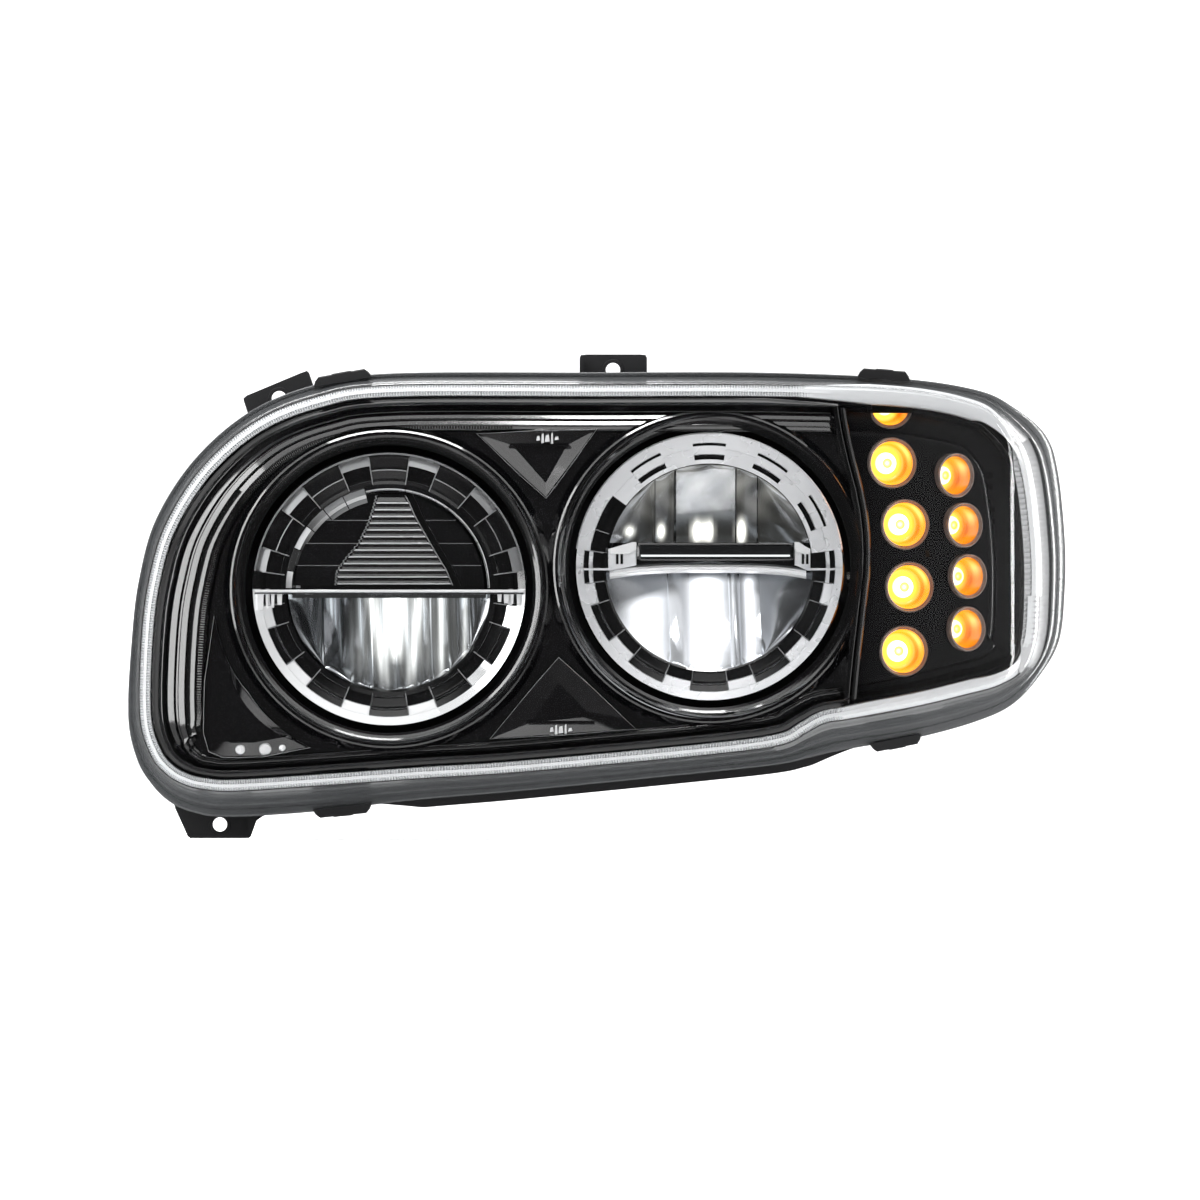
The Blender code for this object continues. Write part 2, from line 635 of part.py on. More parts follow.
def build_heatsink(name, centre, tongue, tilt):
    """Finned plate on four posts, with a tongue or a slot for the LED board."""
    x, z = centre
    half_x, half_z = POST[0] + 5.0, POST[1] + 5.0
    fins = 9
    pitch = (2.0 * half_x - 3.0) / (fins - 1)
    outline = [(x - half_x, SINK_FRONT), (x + half_x, SINK_FRONT)]
    for k in range(fins - 1, -1, -1):
        left = x - half_x + pitch * k
        outline += [(left + 3.0, FIN_BACK), (left, FIN_BACK)]
        if k:
            outline += [(left, SINK_BACK), (left - pitch + 3.0, SINK_BACK)]
    loops = [[(px, py, zz) for px, py in outline] for zz in (z - half_z, z + half_z)]
    sink = loft(name, loops, "alloy")
    for sx in (-1.0, 1.0):
        for sz in (-1.0, 1.0):
            px, pz = x + sx * POST[0], z + sz * POST[1]
            join(sink, box("post", (px - 3.5, CARRIER_BACK + GAP, pz - 3.5),
                           (px + 3.5, SINK_FRONT + 1.0, pz + 3.5)))
    if tongue:
        join(sink, box("tongue", (x - 26.0, -58.0, tongue[0]), (x + 26.0, SINK_FRONT + 1.0, tongue[1])))
    else:
        cut(sink, box("slot", (x - 30.4, SINK_FRONT - 1.0, z + 9.0), (x + 30.4, SINK_FRONT + 3.0, z + 11.2)))
    hang(sink, tilt)


def rounded_bar(x0, x1, z0, z1, radius, steps=3):
    points = []
    for cx, cz, start in ((x1 - radius, z1 - radius, 0.0), (x0 + radius, z1 - radius, 0.25),
                          (x0 + radius, z0 + radius, 0.5), (x1 - radius, z0 + radius, 0.75)):
        for k in range(steps + 1):
            a = TAU * (start + 0.25 * k / steps)
            points.append((cx + radius * math.cos(a), cz + radius * math.sin(a)))
    return points


def build_lamps(tilt):
    build_ring("low_ring", LOW, LOW_FRONT, LOW_RING_R, "chrome", tilt)
    build_ring("high_ring", HIGH, HIGH_FRONT, HIGH_RING_R, "chrome", tilt)

    # Low beam: reflector below the divider, ribbed cover above it
    bowl("low_reflector", LOW, LOW_FRONT + 14.0, 52.0, -80.0, -5.0, tilt)
    cover = prism("low_upper_block", regular(REFLECTOR_R - 0.5, ROUND, LOW), LOW_FRONT + 19.0,
                  LOW_FRONT + 25.0, "gloss_black")
    cut(cover, box("below", (-FAR, -FAR, -FAR), (FAR, FAR, LOW[1] + 3.0)))
    hang(cover, tilt)
    z = LOW[1] - 2.1
    half = LOW_RING_R - 2.0
    bar = box("low_divider", (LOW[0] - half, LOW_FRONT - 3.5, z - 1.7),
              (LOW[0] + half, LOW_FRONT - GAP, z + 1.7), "chrome")
    join(bar, box("shelf", (LOW[0] - 66.0, LOW_FRONT - 1.0, z - 1.3), (LOW[0] + 66.0, -64.0, z + 1.3)))
    hang(bar, tilt)
    board = box("low_led_board", (LOW[0] - 28.0, -60.0, 3.4), (LOW[0] + 28.0, SINK_FRONT - GAP, 5.0),
                "board")
    for k in (-1, 0, 1):
        x = LOW[0] + 14.0 * k
        join(board, box("led", (x - 3.0, -54.0, 2.2), (x + 3.0, -48.0, 3.9)))
    hang(board, tilt)
    build_heatsink("low_heatsink", LOW, (5.3, 9.3), tilt)

    # High beam: reflectors above and below a bar that carries the board
    bowl("high_upper_reflector", HIGH, HIGH_FRONT + 14.0, 44.0, 17.5, 80.0, tilt)
    bowl("high_lower_reflector", HIGH, HIGH_FRONT + 14.0, 44.0, -80.0, -2.0, tilt)
    light_bar = prism("high_light_bar", rounded_bar(27.1, 138.4, 24.1, 37.5, 4.0),
                      HIGH_FRONT + 2.0, HIGH_FRONT + 14.0, "gloss_black")
    for x0, x1 in ((HIGH[0] - REFLECTOR_R + 2.0, 30.0), (135.0, HIGH[0] + REFLECTOR_R - 2.0)):
        join(light_bar, box("bracket", (x0, HIGH_FRONT + 4.0, 20.0), (x1, HIGH_FRONT + 12.0, 34.0)))
    hang(light_bar, tilt)
    z = HIGH[1] + 9.3
    board = box("high_led_board", (HIGH[0] - 30.0, -68.0, z), (HIGH[0] + 30.0, SINK_FRONT + 2.6, z + 1.6),
                "board")
    for k in (-1.5, -0.5, 0.5, 1.5):
        x = HIGH[0] + 14.0 * k
        join(board, box("led", (x - 3.0, -60.0, z - 1.2), (x + 3.0, -54.0, z + 2.8)))
    hang(board, tilt)
    build_heatsink("high_heatsink", HIGH, None, tilt)


# ---- Aim pivots and adjuster ----
def ball_profile(neck_end):
    """Ball of radius BALL_R at 0 with a neck along +axis up to neck_end."""
    points = [(0.0, -BALL_R)]
    stop = math.acos(NECK_R / BALL_R)
    for k in range(1, 6):
        a = -0.5 * math.pi + (0.5 * math.pi + stop) * k / 5.0
        points.append((BALL_R * math.cos(a), BALL_R * math.sin(a)))
    return points + [(NECK_R, neck_end)]


def socket(block, centre, axis):
    """Cuts a snap-fit ball pocket whose mouth faces along axis."""
    pocket = []
    for k in range(7):
        a = math.pi * (k / 6.0 - 0.5)
        pocket.append((max(0.0, SOCKET_R * math.cos(a)) if 0 < k < 6 else 0.0,
                       SOCKET_R * math.sin(a)))
    cut(block, turned("pocket", pocket, centre, axis, None, sides=12))
    mouth_r = math.sqrt(SOCKET_R ** 2 - SOCKET_LIP ** 2)
    cut(block, rod("mouth", mouth_r, centre, axis, 2.0, SOCKET_LIP + 3.0, sides=16))


def build_pivots(tilt):
    for side, x, sign in (("left", PIVOT_LEFT_X, 1.0), ("right", PIVOT_RIGHT_X, -1.0)):
        centre = (x, TILT_Y, TILT_Z)
        ear_near = 16.0 if side == "left" else 15.0
        profile = ball_profile(ear_near - 3.0) + [
            (6.0, ear_near - 3.0), (6.0, ear_near - GAP), (NECK_R, ear_near - GAP),
            (NECK_R, ear_near + 6.0), (0.0, ear_near + 6.0)]
        turned(f"pivot_ball_{side}", profile, centre, (sign, 0, 0), "steel", 12, tilt)
        inner, outer = x + sign * SOCKET_LIP, x - sign * 10.0
        x0, x1 = min(inner, outer), max(inner, outer)
        tower = box(f"pivot_tower_{side}", (x0, TILT_Y - 11.0, TILT_Z - 11.0),
                    (x1, TILT_Y + 12.0, TILT_Z + 11.0), "nylon")
        back = BACK_Y - WALL - GAP
        join(tower, box("leg", (x0 + 3.0, TILT_Y + 8.0, TILT_Z - 8.0), (x1 - 1.0, back, TILT_Z + 8.0)))
        join(tower, box("foot", (x0 + 4.0, back - 4.0, TILT_Z - 16.0), (x1 + 4.0, back, TILT_Z + 16.0)))
        socket(tower, centre, (sign, 0, 0))


def build_aim_socket(tilt):
    block = box("aim_socket", (SCREW_X - 11.0, CARRIER_BACK + GAP, SCREW_Z - 11.0),
                (SCREW_X + 11.0, TILT_Y + SOCKET_LIP, SCREW_Z + 11.0), "nylon")
    socket(block, (SCREW_X, TILT_Y, SCREW_Z), (0, 1, 0))
    hang(block, tilt)


STUD_R = 4.0
STUD_END = 128.0            # from the ball's centre
GEAR_R = 12.5
GEAR_FRONT = 93.0
GEAR_FACE = 98.5            # floor between the crown teeth
GEAR_TIP = 100.5
PINION_TIP_R = 5.2
PINION_ROOT_R = 3.8
SHAFT_R = 3.0
SHAFT_HEAD_R = 5.5
PINION_Z = (SCREW_Z + 7.5, SCREW_Z + 12.5)
DRIVE_TOP = -20.0
BOX_BACK = 119.0
BOX_HALF_X = 20.0
BOX_Z = (SCREW_Z - 21.0, SCREW_Z + 22.0)


def build_adjuster():
    screw = empty("screw_axis", SCREW_X, TILT_Y, SCREW_Z)
    centre = (SCREW_X, TILT_Y, SCREW_Z)
    profile = ball_profile(14.0) + [(STUD_R, 15.5), (STUD_R, STUD_END - 1.0),
                                    (STUD_R - 1.0, STUD_END), (0.0, STUD_END)]
    turned("adjuster_stud", profile, centre, (0, 1, 0), "steel", 12, screw)

    nut = empty("gear_axis", SCREW_X, GEAR_FRONT, SCREW_Z)
    bore = STUD_R + GAP
    profile = [(bore, GEAR_FRONT), (GEAR_R, GEAR_FRONT), (GEAR_R, GEAR_TIP), (8.0, GEAR_TIP),
               (8.0, GEAR_FACE), (bore, GEAR_FACE)]
    gear = turned("adjuster_gear", profile, (SCREW_X, 0, SCREW_Z), (0, 1, 0), "nylon", 24)
    for k in range(8):
        a = math.pi * k / 8.0
        along = (math.cos(a), math.sin(a))
        across = (-along[1], along[0])
        corners = [(SCREW_X + along[0] * u + across[0] * v, SCREW_Z + along[1] * u + across[1] * v)
                   for u, v in ((-15, -1), (15, -1), (15, 1), (-15, 1))]
        cut(gear, prism("slot", corners, GEAR_FACE + 0.2, GEAR_TIP + 1.0))
    hang(gear, nut)

    spindle = empty("drive_axis", SCREW_X, DRIVE_Y, PINION_Z[0])
    at = (SCREW_X, DRIVE_Y, 0)
    drive = turned("adjuster_drive", [(0, PINION_Z[0]), (SHAFT_R, PINION_Z[0]),
                                      (SHAFT_R, DRIVE_TOP - 9.0), (SHAFT_HEAD_R, DRIVE_TOP - 8.0),
                                      (SHAFT_HEAD_R, DRIVE_TOP), (0, DRIVE_TOP)],
                   at, (0, 0, 1), "steel", 12)
    teeth = 8
    star = []
    for k in range(teeth * 4):
        a = TAU * k / (teeth * 4)
        radius = PINION_TIP_R if k % 4 < 2 else PINION_ROOT_R
        star.append((SCREW_X + radius * math.cos(a), DRIVE_Y + radius * math.sin(a)))
    join(drive, loft("pinion", [[(x, y, z) for x, y in star]
                                for z in (PINION_Z[0] + 0.2, PINION_Z[1])], None))
    for u, v in ((4.5, 0.7), (0.7, 4.5)):
        cut(drive, box("drive_slot", (SCREW_X - u, DRIVE_Y - v, DRIVE_TOP - 4.0),
                       (SCREW_X + u, DRIVE_Y + v, DRIVE_TOP + 1.0)))
    hang(drive, spindle)

    gearbox = box("adjuster_housing", (SCREW_X - BOX_HALF_X, BACK_Y + GAP, BOX_Z[0]),
                  (SCREW_X + BOX_HALF_X, BOX_BACK, BOX_Z[1]), "matte_black")
    middle = (SCREW_X, 0, SCREW_Z)
    cut(gearbox, rod("chamber", GEAR_R + 1.2, middle, (0, 1, 0), GEAR_FRONT - 1.0, BOX_BACK - 4.0))
    cut(gearbox, rod("bore", STUD_R + 0.6, middle, (0, 1, 0), BACK_Y - 1.0, GEAR_FRONT + 1.0, sides=16))
    cut(gearbox, rod("pocket", PINION_TIP_R + 0.8, at, (0, 0, 1), PINION_Z[0] - 1.5,
                     PINION_Z[1] + 1.5, sides=16))
    cut(gearbox, rod("shaft_bore", SHAFT_R + 0.5, at, (0, 0, 1), PINION_Z[1], BOX_Z[1] + 3.0, sides=16))


# ---- Rear of the housing ----
def screw(name, x, z, head_y):
    profile = [(0, head_y + 3.2), (3.6, head_y + 3.2), (4.5, head_y + 2.4), (4.5, head_y),
               (SHANK_R, head_y), (SHANK_R, BACK_Y - WALL + 0.5), (0, BACK_Y - WALL + 0.5)]
    turned(name, profile, (x, 0, z), (0, 1, 0), "steel", 10)


def gasket(name, x, z, inner, outer):
    profile = [(inner, BACK_Y + GAP), (outer, BACK_Y + GAP), (outer, SEAT_Y - GAP),
               (inner, SEAT_Y - GAP)]
    turned(name, profile, (x, 0, z), (0, 1, 0), "rubber", ROUND)


def build_cover():
    profile = [(0, 100.0), (46.0, 100.0), (52.0, 96.0), (54.0, SEAT_Y + 3.0), (COVER_R, SEAT_Y + 3.0),
               (COVER_R, SEAT_Y), (51.0, SEAT_Y), (49.5, 95.0), (45.0, 97.5), (0, 97.5)]
    cover = turned("rear_cover", profile, (COVER[0], 0, COVER[1]), (0, 1, 0), "matte_black")
    gasket("rear_cover_seal", *COVER, 52.0, 58.0)
    for number, (x, z) in enumerate(cover_screws(), 1):
        cut(cover, rod("hole", SHANK_HOLE_R, (x, 0, z), (0, 1, 0), 80.0, 95.0, sides=8))
        screw(f"rear_cover_screw_{number}", x, z, SEAT_Y + 3.0 + GAP)


def build_driver():
    (x0, x1), (z0, z1) = DRIVER_X, DRIVER_Z
    foot, body, top = SEAT_Y + 3.0, 107.0, HALF_DEPTH
    inset, fins, fin_t = 12.0, 7, 4.0
    outline = [(x0, SEAT_Y), (x1, SEAT_Y), (x1, foot), (x1 - inset, foot)]
    pitch = (x1 - x0 - 2 * inset - fin_t) / (fins - 1)
    for k in range(fins):
        right = x1 - inset - pitch * k
        outline += [(right, top), (right - fin_t, top)]
        if k < fins - 1:
            outline += [(right - fin_t, body), (right - pitch, body)]
    outline += [(x0 + inset, foot), (x0, foot)]
    driver = loft("led_driver", [[(x, y, z) for x, y in outline] for z in (z0, z1)], "alloy")
    px, pz, radius = DRIVER_PLUG
    join(driver, rod("plug", radius, (px, 0, pz), (0, 1, 0), 76.0, SEAT_Y + 0.5))
    gasket("driver_seal", px, pz, radius + 4.0, radius + 9.0)
    for number, (x, z) in enumerate(DRIVER_SCREWS, 1):
        cut(driver, rod("hole", SHANK_HOLE_R, (x, 0, z), (0, 1, 0), 80.0, 95.0, sides=8))
        screw(f"driver_screw_{number}", x, z, foot + GAP)


SOCKET_FLOOR = 98.0
SOCKET_MOUTH = 118.0


def build_connector():
    x, z = INLET
    inlet = box("connector_inlet", (x - 26.0, SEAT_Y, z - 17.0), (x + 26.0, SEAT_Y + 3.0, z + 17.0),
                "matte_black")
    join(inlet, box("shroud", (x - 20.0, SEAT_Y + 1.0, z - 12.0), (x + 20.0, SOCKET_MOUTH, z + 12.0)))
    join(inlet, box("inner", (x - 14.5, BACK_Y - 9.0, z - 6.5), (x + 14.5, SEAT_Y + 1.0, z + 6.5)))
    cut(inlet, box("cavity", (x - 17.5, SOCKET_FLOOR, z - 9.5), (x + 17.5, SOCKET_MOUTH + 2.0, z + 9.5)))
    for row in (-4.0, 4.0):
        for column in (-11.0, 0.0, 11.0):
            px, pz = x + column, z + row
            join(inlet, box("pin", (px - 1.2, SOCKET_FLOOR - 1.0, pz - 0.5),
                            (px + 1.2, SOCKET_FLOOR + 8.0, pz + 0.5)))
    seal = box("connector_seal", (x - 24.0, BACK_Y + GAP, z - 15.0), (x + 24.0, SEAT_Y - GAP, z + 15.0),
               "rubber")
    cut(seal, box("window", (x - 16.5, BACK_Y, z - 8.5), (x + 16.5, SEAT_Y, z + 8.5)))


def build_vent():
    cap_r, neck_r, stem_r, top = 12.0, 8.0, 4.5, BACK_Y + 12.0
    profile = [(0, top), (cap_r - 3.0, top), (cap_r, top - 3.0), (cap_r, BACK_Y + 4.0),
               (neck_r, BACK_Y + 2.0), (neck_r, BACK_Y + GAP), (stem_r, BACK_Y + GAP),
               (stem_r, BACK_Y - 5.0), (0, BACK_Y - 5.0)]
    turned("breather_vent", profile, (VENT[0], 0, VENT[1]), (0, 1, 0), "matte_black", 16)


def lead(name, points, radius):
    """Round lead through its route's points."""
    route = bpy.data.curves.new(name, "CURVE")
    route.dimensions = "3D"
    route.bevel_depth = radius * MM
    route.bevel_resolution = 1
    route.use_fill_caps = True
    dense = []
    ends = [points[0]] + list(points) + [points[-1]]
    for i in range(len(points) - 1):
        a, b, c, d = (Vector(p) for p in ends[i:i + 4])
        for k in range(3):
            t = k / 3.0
            dense.append(0.5 * (2 * b + (c - a) * t + (2 * a - 5 * b + 4 * c - d) * t * t
                                + (3 * b - a - 3 * c + d) * t ** 3))
    dense.append(Vector(points[-1]))
    path = route.splines.new("POLY")
    path.points.add(len(dense) - 1)
    for point, at in zip(path.points, dense):
        point.co = (*(at * MM), 1.0)
    made = bpy.data.objects.new(name, route)
    route.materials.append(material(name + "_rubber", *FINISHES["rubber"]))
    bpy.context.scene.collection.objects.link(made)
    return made


LEAD_R = 2.2
TURN_LEAD = ((-34.0, 75.5, 70.0), (-30.0, 64.0, 74.0), (0.0, 50.0, 92.0), (70.0, 42.0, 100.0),
             (140.0, 30.0, 96.0), (190.0, -5.0, 70.0), (206.0, -24.0, 58.0))
DRIVER_LEAD = ((90.0, 74.8, 18.0), (90.0, 68.0, 19.0), (84.0, 58.0, 36.0), (60.0, 48.0, 58.0),
               (10.0, 30.0, 56.0), (-6.0, 5.0, 40.0), (0.0, -15.0, 30.0), (3.5, -15.0, 26.0))
CARRIER_LEAD = ((3.5, -15.0, 14.0), (-8.0, -14.0, 10.0), (-34.0, -8.0, 6.0), (-60.0, -14.0, 8.0),
                (-71.0, -15.0, 10.0))


def main():
    for old in list(bpy.data.objects):
        bpy.data.objects.remove(old)
    build_lens()
    build_seal()
    build_housing()
    build_clips()
    build_bezels()
    build_turn_reflector()
    build_turn_board()
    build_turn_optics()
    tilt = empty("tilt_axis", 0.5 * (PIVOT_LEFT_X + PIVOT_RIGHT_X), TILT_Y, TILT_Z)
    build_carrier(tilt)
    build_lamps(tilt)
    build_pivots(tilt)
    build_aim_socket(tilt)
    build_adjuster()
    build_cover()
    build_driver()
    build_connector()
    build_vent()
    lead("turn_lead", TURN_LEAD, LEAD_R)
    lead("driver_lead", DRIVER_LEAD, LEAD_R)
    lead("carrier_lead", CARRIER_LEAD, LEAD_R)


main()
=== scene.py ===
"""The looks of the headlight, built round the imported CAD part.

Millimetres in the constants. +X points outboard, +Y rearwards, +Z up.
"""
import math

import bpy
import numpy as np
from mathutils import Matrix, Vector


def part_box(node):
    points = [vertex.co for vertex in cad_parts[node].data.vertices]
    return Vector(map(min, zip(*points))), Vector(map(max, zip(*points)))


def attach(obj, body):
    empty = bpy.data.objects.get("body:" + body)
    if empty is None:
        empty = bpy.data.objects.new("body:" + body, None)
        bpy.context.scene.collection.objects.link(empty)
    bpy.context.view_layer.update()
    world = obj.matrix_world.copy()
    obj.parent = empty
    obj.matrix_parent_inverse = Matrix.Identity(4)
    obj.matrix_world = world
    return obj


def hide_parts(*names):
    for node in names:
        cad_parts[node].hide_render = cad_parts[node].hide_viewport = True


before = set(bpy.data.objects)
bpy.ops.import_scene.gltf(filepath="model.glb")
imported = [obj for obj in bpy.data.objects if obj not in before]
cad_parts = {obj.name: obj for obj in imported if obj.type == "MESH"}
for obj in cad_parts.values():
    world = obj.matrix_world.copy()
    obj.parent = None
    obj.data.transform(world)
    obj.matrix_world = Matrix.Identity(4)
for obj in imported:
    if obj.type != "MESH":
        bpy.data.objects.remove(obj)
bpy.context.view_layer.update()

MM = 0.001
TAU = 2 * math.pi
LAMP = "lamp_housing"       # CAD bodies
CARRIER = "lamp_carrier"

# ---- Dimensions shared with the CAD ----
LOW = (-146.2, 5.1)         # lamp axes (x, z)
HIGH = (78.5, 20.6)
LOW_FRONT = -98
HIGH_FRONT = -86
LOW_RING_R = 96.5
HIGH_RING_R = 94.5
LAMP_R = 70
HOLE_PLAY = 4.5
LENS_T = 3
FLANGE_T = 4
HOUSING_FRONT = 6.2
BACK_Y = 85
RIM_X = (-329.5, 330.5)     # the rim's ends
TURN_YAW = (16, 37)
TURN_SEAM = ((164, 200), (168.7, 126.3), (190.5, 44.5), (177.2, -68.8), (170, -200))

# Outline, clockwise from the inboard side: rim x, z, then face edge x, z
OUTLINE = [
    (-329.5, -84, -321.5, -84), (-327, -31, -320.5, -31), (-322, 11, -315.5, 10),
    (-310, 54, -303.5, 50.5), (-283, 96, -277.5, 91), (-245, 129, -241, 122.5),
    (-200, 148, -197.5, 140.5), (-146, 156.5, -145, 148.5), (0, 157.2, 0, 148.8),
    (120, 157.2, 120, 148.8), (214, 153.2, 213, 145.5), (268.4, 145, 263, 136.5),
    (293.6, 133, 283, 124.5), (316, 114, 299, 103), (325, 88, 306, 77), (330, 40, 310.5, 35),
    (330, 5, 311, 0), (326, -31, 309, -30), (312, -56, 301, -51), (292.7, -76.3, 283, -63),
    (267, -88.2, 258, -70), (227.6, -99, 224, -78), (188, -105.5, 178, -86.5),
    (168, -109, 160, -89.5), (148.3, -113.5, 147, -96), (128.6, -117.9, 128.6, -104.8),
    (80, -123.3, 80, -111.5), (-53.2, -136.5, -53.2, -123.8), (-126, -142.8, -126, -128.5),
    (-201.6, -151.5, -201.6, -133.9), (-261, -154.8, -255.5, -137.2),
    (-284, -151.5, -276, -136), (-300, -144.5, -290, -132.5), (-313, -132, -303, -125),
    (-323.5, -114, -314, -111),
]


# ---- Outline and surfaces ----
def spline(points, steps):
    """Closed Catmull-Rom curve through points of any dimension."""
    p = np.asarray(points, float)
    a, b, c, d = (np.roll(p, k, axis=0)[:, None, :] for k in (1, 0, -1, -2))
    t = (np.arange(steps) / steps)[None, :, None]
    curve = 0.5 * (2 * b + (c - a) * t + (2 * a - 5 * b + 4 * c - d) * t ** 2
                   + (3 * b - a - 3 * c + d) * t ** 3)
    return curve.reshape(-1, p.shape[1])


def outline_samples(count, turn_weight):
    """Points round the outline, closer together where it turns if turn_weight says so."""
    dense = spline(OUTLINE, 96)
    step = (np.roll(dense, -1, axis=0) - dense)[:, :2]
    heading = np.arctan2(step[:, 1], step[:, 0])
    turn = np.abs((np.roll(heading, -1) - heading + math.pi) % TAU - math.pi)
    weight = np.concatenate([[0], np.cumsum(np.hypot(*step.T) + turn_weight * turn)])
    closed = np.vstack([dense, dense[:1]])
    at = weight[-1] * np.arange(count) / count
    return np.stack([np.interp(at, weight, closed[:, k]) for k in range(4)], axis=1)


def face_y(x, z):
    """Depth of the lens's outer face."""
    u = np.maximum(0, (x + 180) / 510)
    return (-125 + 150 * u ** 4.5 + 0.015 * np.maximum(0, x - 285) ** 2
            + 0.0008 * np.maximum(0, -200 - x) ** 2 + 0.00035 * (z + 60) ** 2)


def rim_y(x):
    """Depth of the lens flange's front."""
    return -88 + 148 * np.maximum(0, (x + 180) / 510) ** 3.6


def seam_x(z):
    """Line between the main bezel and the turn bezel."""
    xs, zs = np.array(TURN_SEAM, float)[::-1].T
    z = np.asarray(z, float)
    return sum(np.interp(z + shift, zs, xs) for shift in (-30, -15, 0, 15, 30)) / 5


def xyz(x, y, z):
    """Points from coordinates, any of which may be one number."""
    return np.stack(np.broadcast_arrays(x, y, z), axis=-1).astype(float)


def behind(x, z, back):
    """Points a depth behind the lens's face."""
    return xyz(x, face_y(x, z) + back, z)


def on_face(loop, back):
    return behind(*loop.T, back)


def on_rim(loop, back):
    return xyz(loop[:, 0], rim_y(loop[:, 0]) + back, loop[:, 1])


class Outline:
    """A sampled outline with its rim, its face edge and loops inside that edge."""

    def __init__(self, count, turn_weight):
        self.samples = outline_samples(count, turn_weight)
        self.samples[:, 0] = np.clip(self.samples[:, 0], *RIM_X)
        self.x, self.z = self.samples[:, 2:].T

    def rim(self, fraction):
        s = self.samples
        return s[:, :2] + (s[:, 2:] - s[:, :2]) * fraction

    def inside(self, inset):
        edge = self.rim(1)
        along = np.roll(edge, -1, axis=0) - np.roll(edge, 1, axis=0)
        along /= np.hypot(*along.T)[:, None]
        return edge + np.stack([along[:, 1], -along[:, 0]], axis=1) * np.reshape(inset, (-1, 1))

    def sides(self):
        """Squared shares of the outward direction: inboard, top, bottom and outboard."""
        x, z = (self.inside(0) - self.inside(1)).T
        return [np.clip(part, 0, 1) ** 2 for part in (-x, z, -z, x)]


SMOOTH = Outline(600, 40)


def finish(name, colour, roughness, metallic=0.0, mottle=0.04, grain=0.0, grain_size=900,
           see_through=0.0, glow=False, edge_clear=None, coat=0.0, specular=0.5, ior=1.5):
    """A procedural material: noise varies the roughness and, with grain, the surface.

    see_through mixes in clear; edge_clear makes a clear sheet that only mirrors by Fresnel.
    glow reads the piece's "lit" colours as light.
    """
    made = bpy.data.materials.new("look_" + name)
    made.use_nodes = True
    tree = made.node_tree
    shader, out = tree.nodes["Principled BSDF"], tree.nodes["Material Output"]

    def put(node, **values):
        for socket, value in values.items():
            node.inputs[socket.replace("_", " ")].default_value = value

    def add(kind, **values):
        node = tree.nodes.new("ShaderNode" + kind)
        put(node, **values)
        return node

    def link(source, output, target, socket):
        tree.links.new(source.outputs[output], target.inputs[socket])

    put(shader, Base_Color=(*colour, 1), Metallic=metallic, Coat_Weight=coat,
        Specular_IOR_Level=specular, IOR=ior)
    where = add("TexCoord")
    noise = add("TexNoise", Scale=35, Detail=3)
    link(where, "Object", noise, "Vector")
    span = add("MapRange", To_Min=max(0, roughness - mottle), To_Max=roughness + mottle)
    link(noise, "Fac", span, "Value")
    link(span, "Result", shader, "Roughness")
    if grain:
        fine = add("TexNoise", Scale=grain_size)
        link(where, "Object", fine, "Vector")
        bump = add("Bump", Strength=grain, Distance=0.0003)
        link(fine, "Fac", bump, "Height")
        link(bump, "Normal", shader, "Normal")
    if glow:
        lit = add("Attribute")
        lit.attribute_name = "lit"
        link(lit, "Color", shader, "Emission Color")
        put(shader, Emission_Strength=1)
    if see_through or edge_clear is not None:
        clear, mix = add("BsdfTransparent"), add("MixShader")
        link(clear, "BSDF", mix, 1)
        link(shader, "BSDF", mix, 2)
        if edge_clear is None:
            put(mix, Fac=1 - see_through)
        else:
            link(add("Fresnel", IOR=edge_clear), "Fac", mix, "Fac")
        link(mix, "Shader", out, "Surface")
    return made


CLEAR = finish("lens_clear", (1, 1, 1), 0.02, metallic=1, mottle=0.01,
               edge_clear=1.18)
SKIRT = finish("lens_skirt", (0.07, 0.073, 0.076), 0.14, mottle=0.06,
               see_through=0.30, specular=0.9)
FROST = finish("lens_frost", (0.46, 0.47, 0.48), 0.20, mottle=0.08, specular=0.9)
WRAP = finish("lens_wrap", (0.40, 0.405, 0.41), 0.16, mottle=0.08, see_through=0.15,
              specular=0.9)
GLOSS = finish("gloss_black", (0.003, 0.003, 0.0035), 0.06, mottle=0.03, ior=2.3)
DEEP = finish("deep_black", (0.003, 0.003, 0.0035), 0.08, mottle=0.03, specular=0.08)
# Painted sheen: a grey half-metal on thin rows of the gloss black that paints its highlight lines
# and reflection bands
PAINTED_SHEEN = finish("painted_sheen_edge", (0.24, 0.245, 0.25), 0.25, metallic=0.4, mottle=0.08)
MATTE = finish("matte_black", (0.010, 0.010, 0.011), 0.5, mottle=0.1, grain=0.35,
               grain_size=1400, specular=0.35)
CHROME = finish("chrome", (0.90, 0.91, 0.92), 0.07, metallic=1, mottle=0.03)
SILVER = finish("silver", (0.80, 0.81, 0.83), 0.28, metallic=0.45, mottle=0.10)
# Painted gleam: a half-diffuse white on chrome trim that paints the white highlights its faces
# would reflect
PAINTED_GLEAM = finish("painted_gleam_trim", (0.93, 0.94, 0.95), 0.22, metallic=0.45,
                mottle=0.08)
SMOKE = finish("smoked_chrome", (0.34, 0.35, 0.37), 0.16, metallic=1, mottle=0.08)
FACETS = finish("lit_reflector", (0.44, 0.455, 0.48), 0.12, metallic=1,
                mottle=0.06, glow=True)
AMBER = finish("amber_lit", (0.30, 0.10, 0.0), 0.18, mottle=0.05, glow=True,
               coat=0.5)
RIM = finish("cup_rim", (0.40, 0.33, 0.30), 0.16, metallic=0.7, mottle=0.05)
RUBBER = finish("rubber", (0.02, 0.02, 0.02), 0.75, grain=0.5, grain_size=700)
ALLOY = finish("cast_alloy", (0.50, 0.51, 0.53), 0.42, metallic=1, mottle=0.1,
               grain=0.5, grain_size=500)
STEEL = finish("plated_steel", (0.56, 0.55, 0.52), 0.25, metallic=1, mottle=0.08)
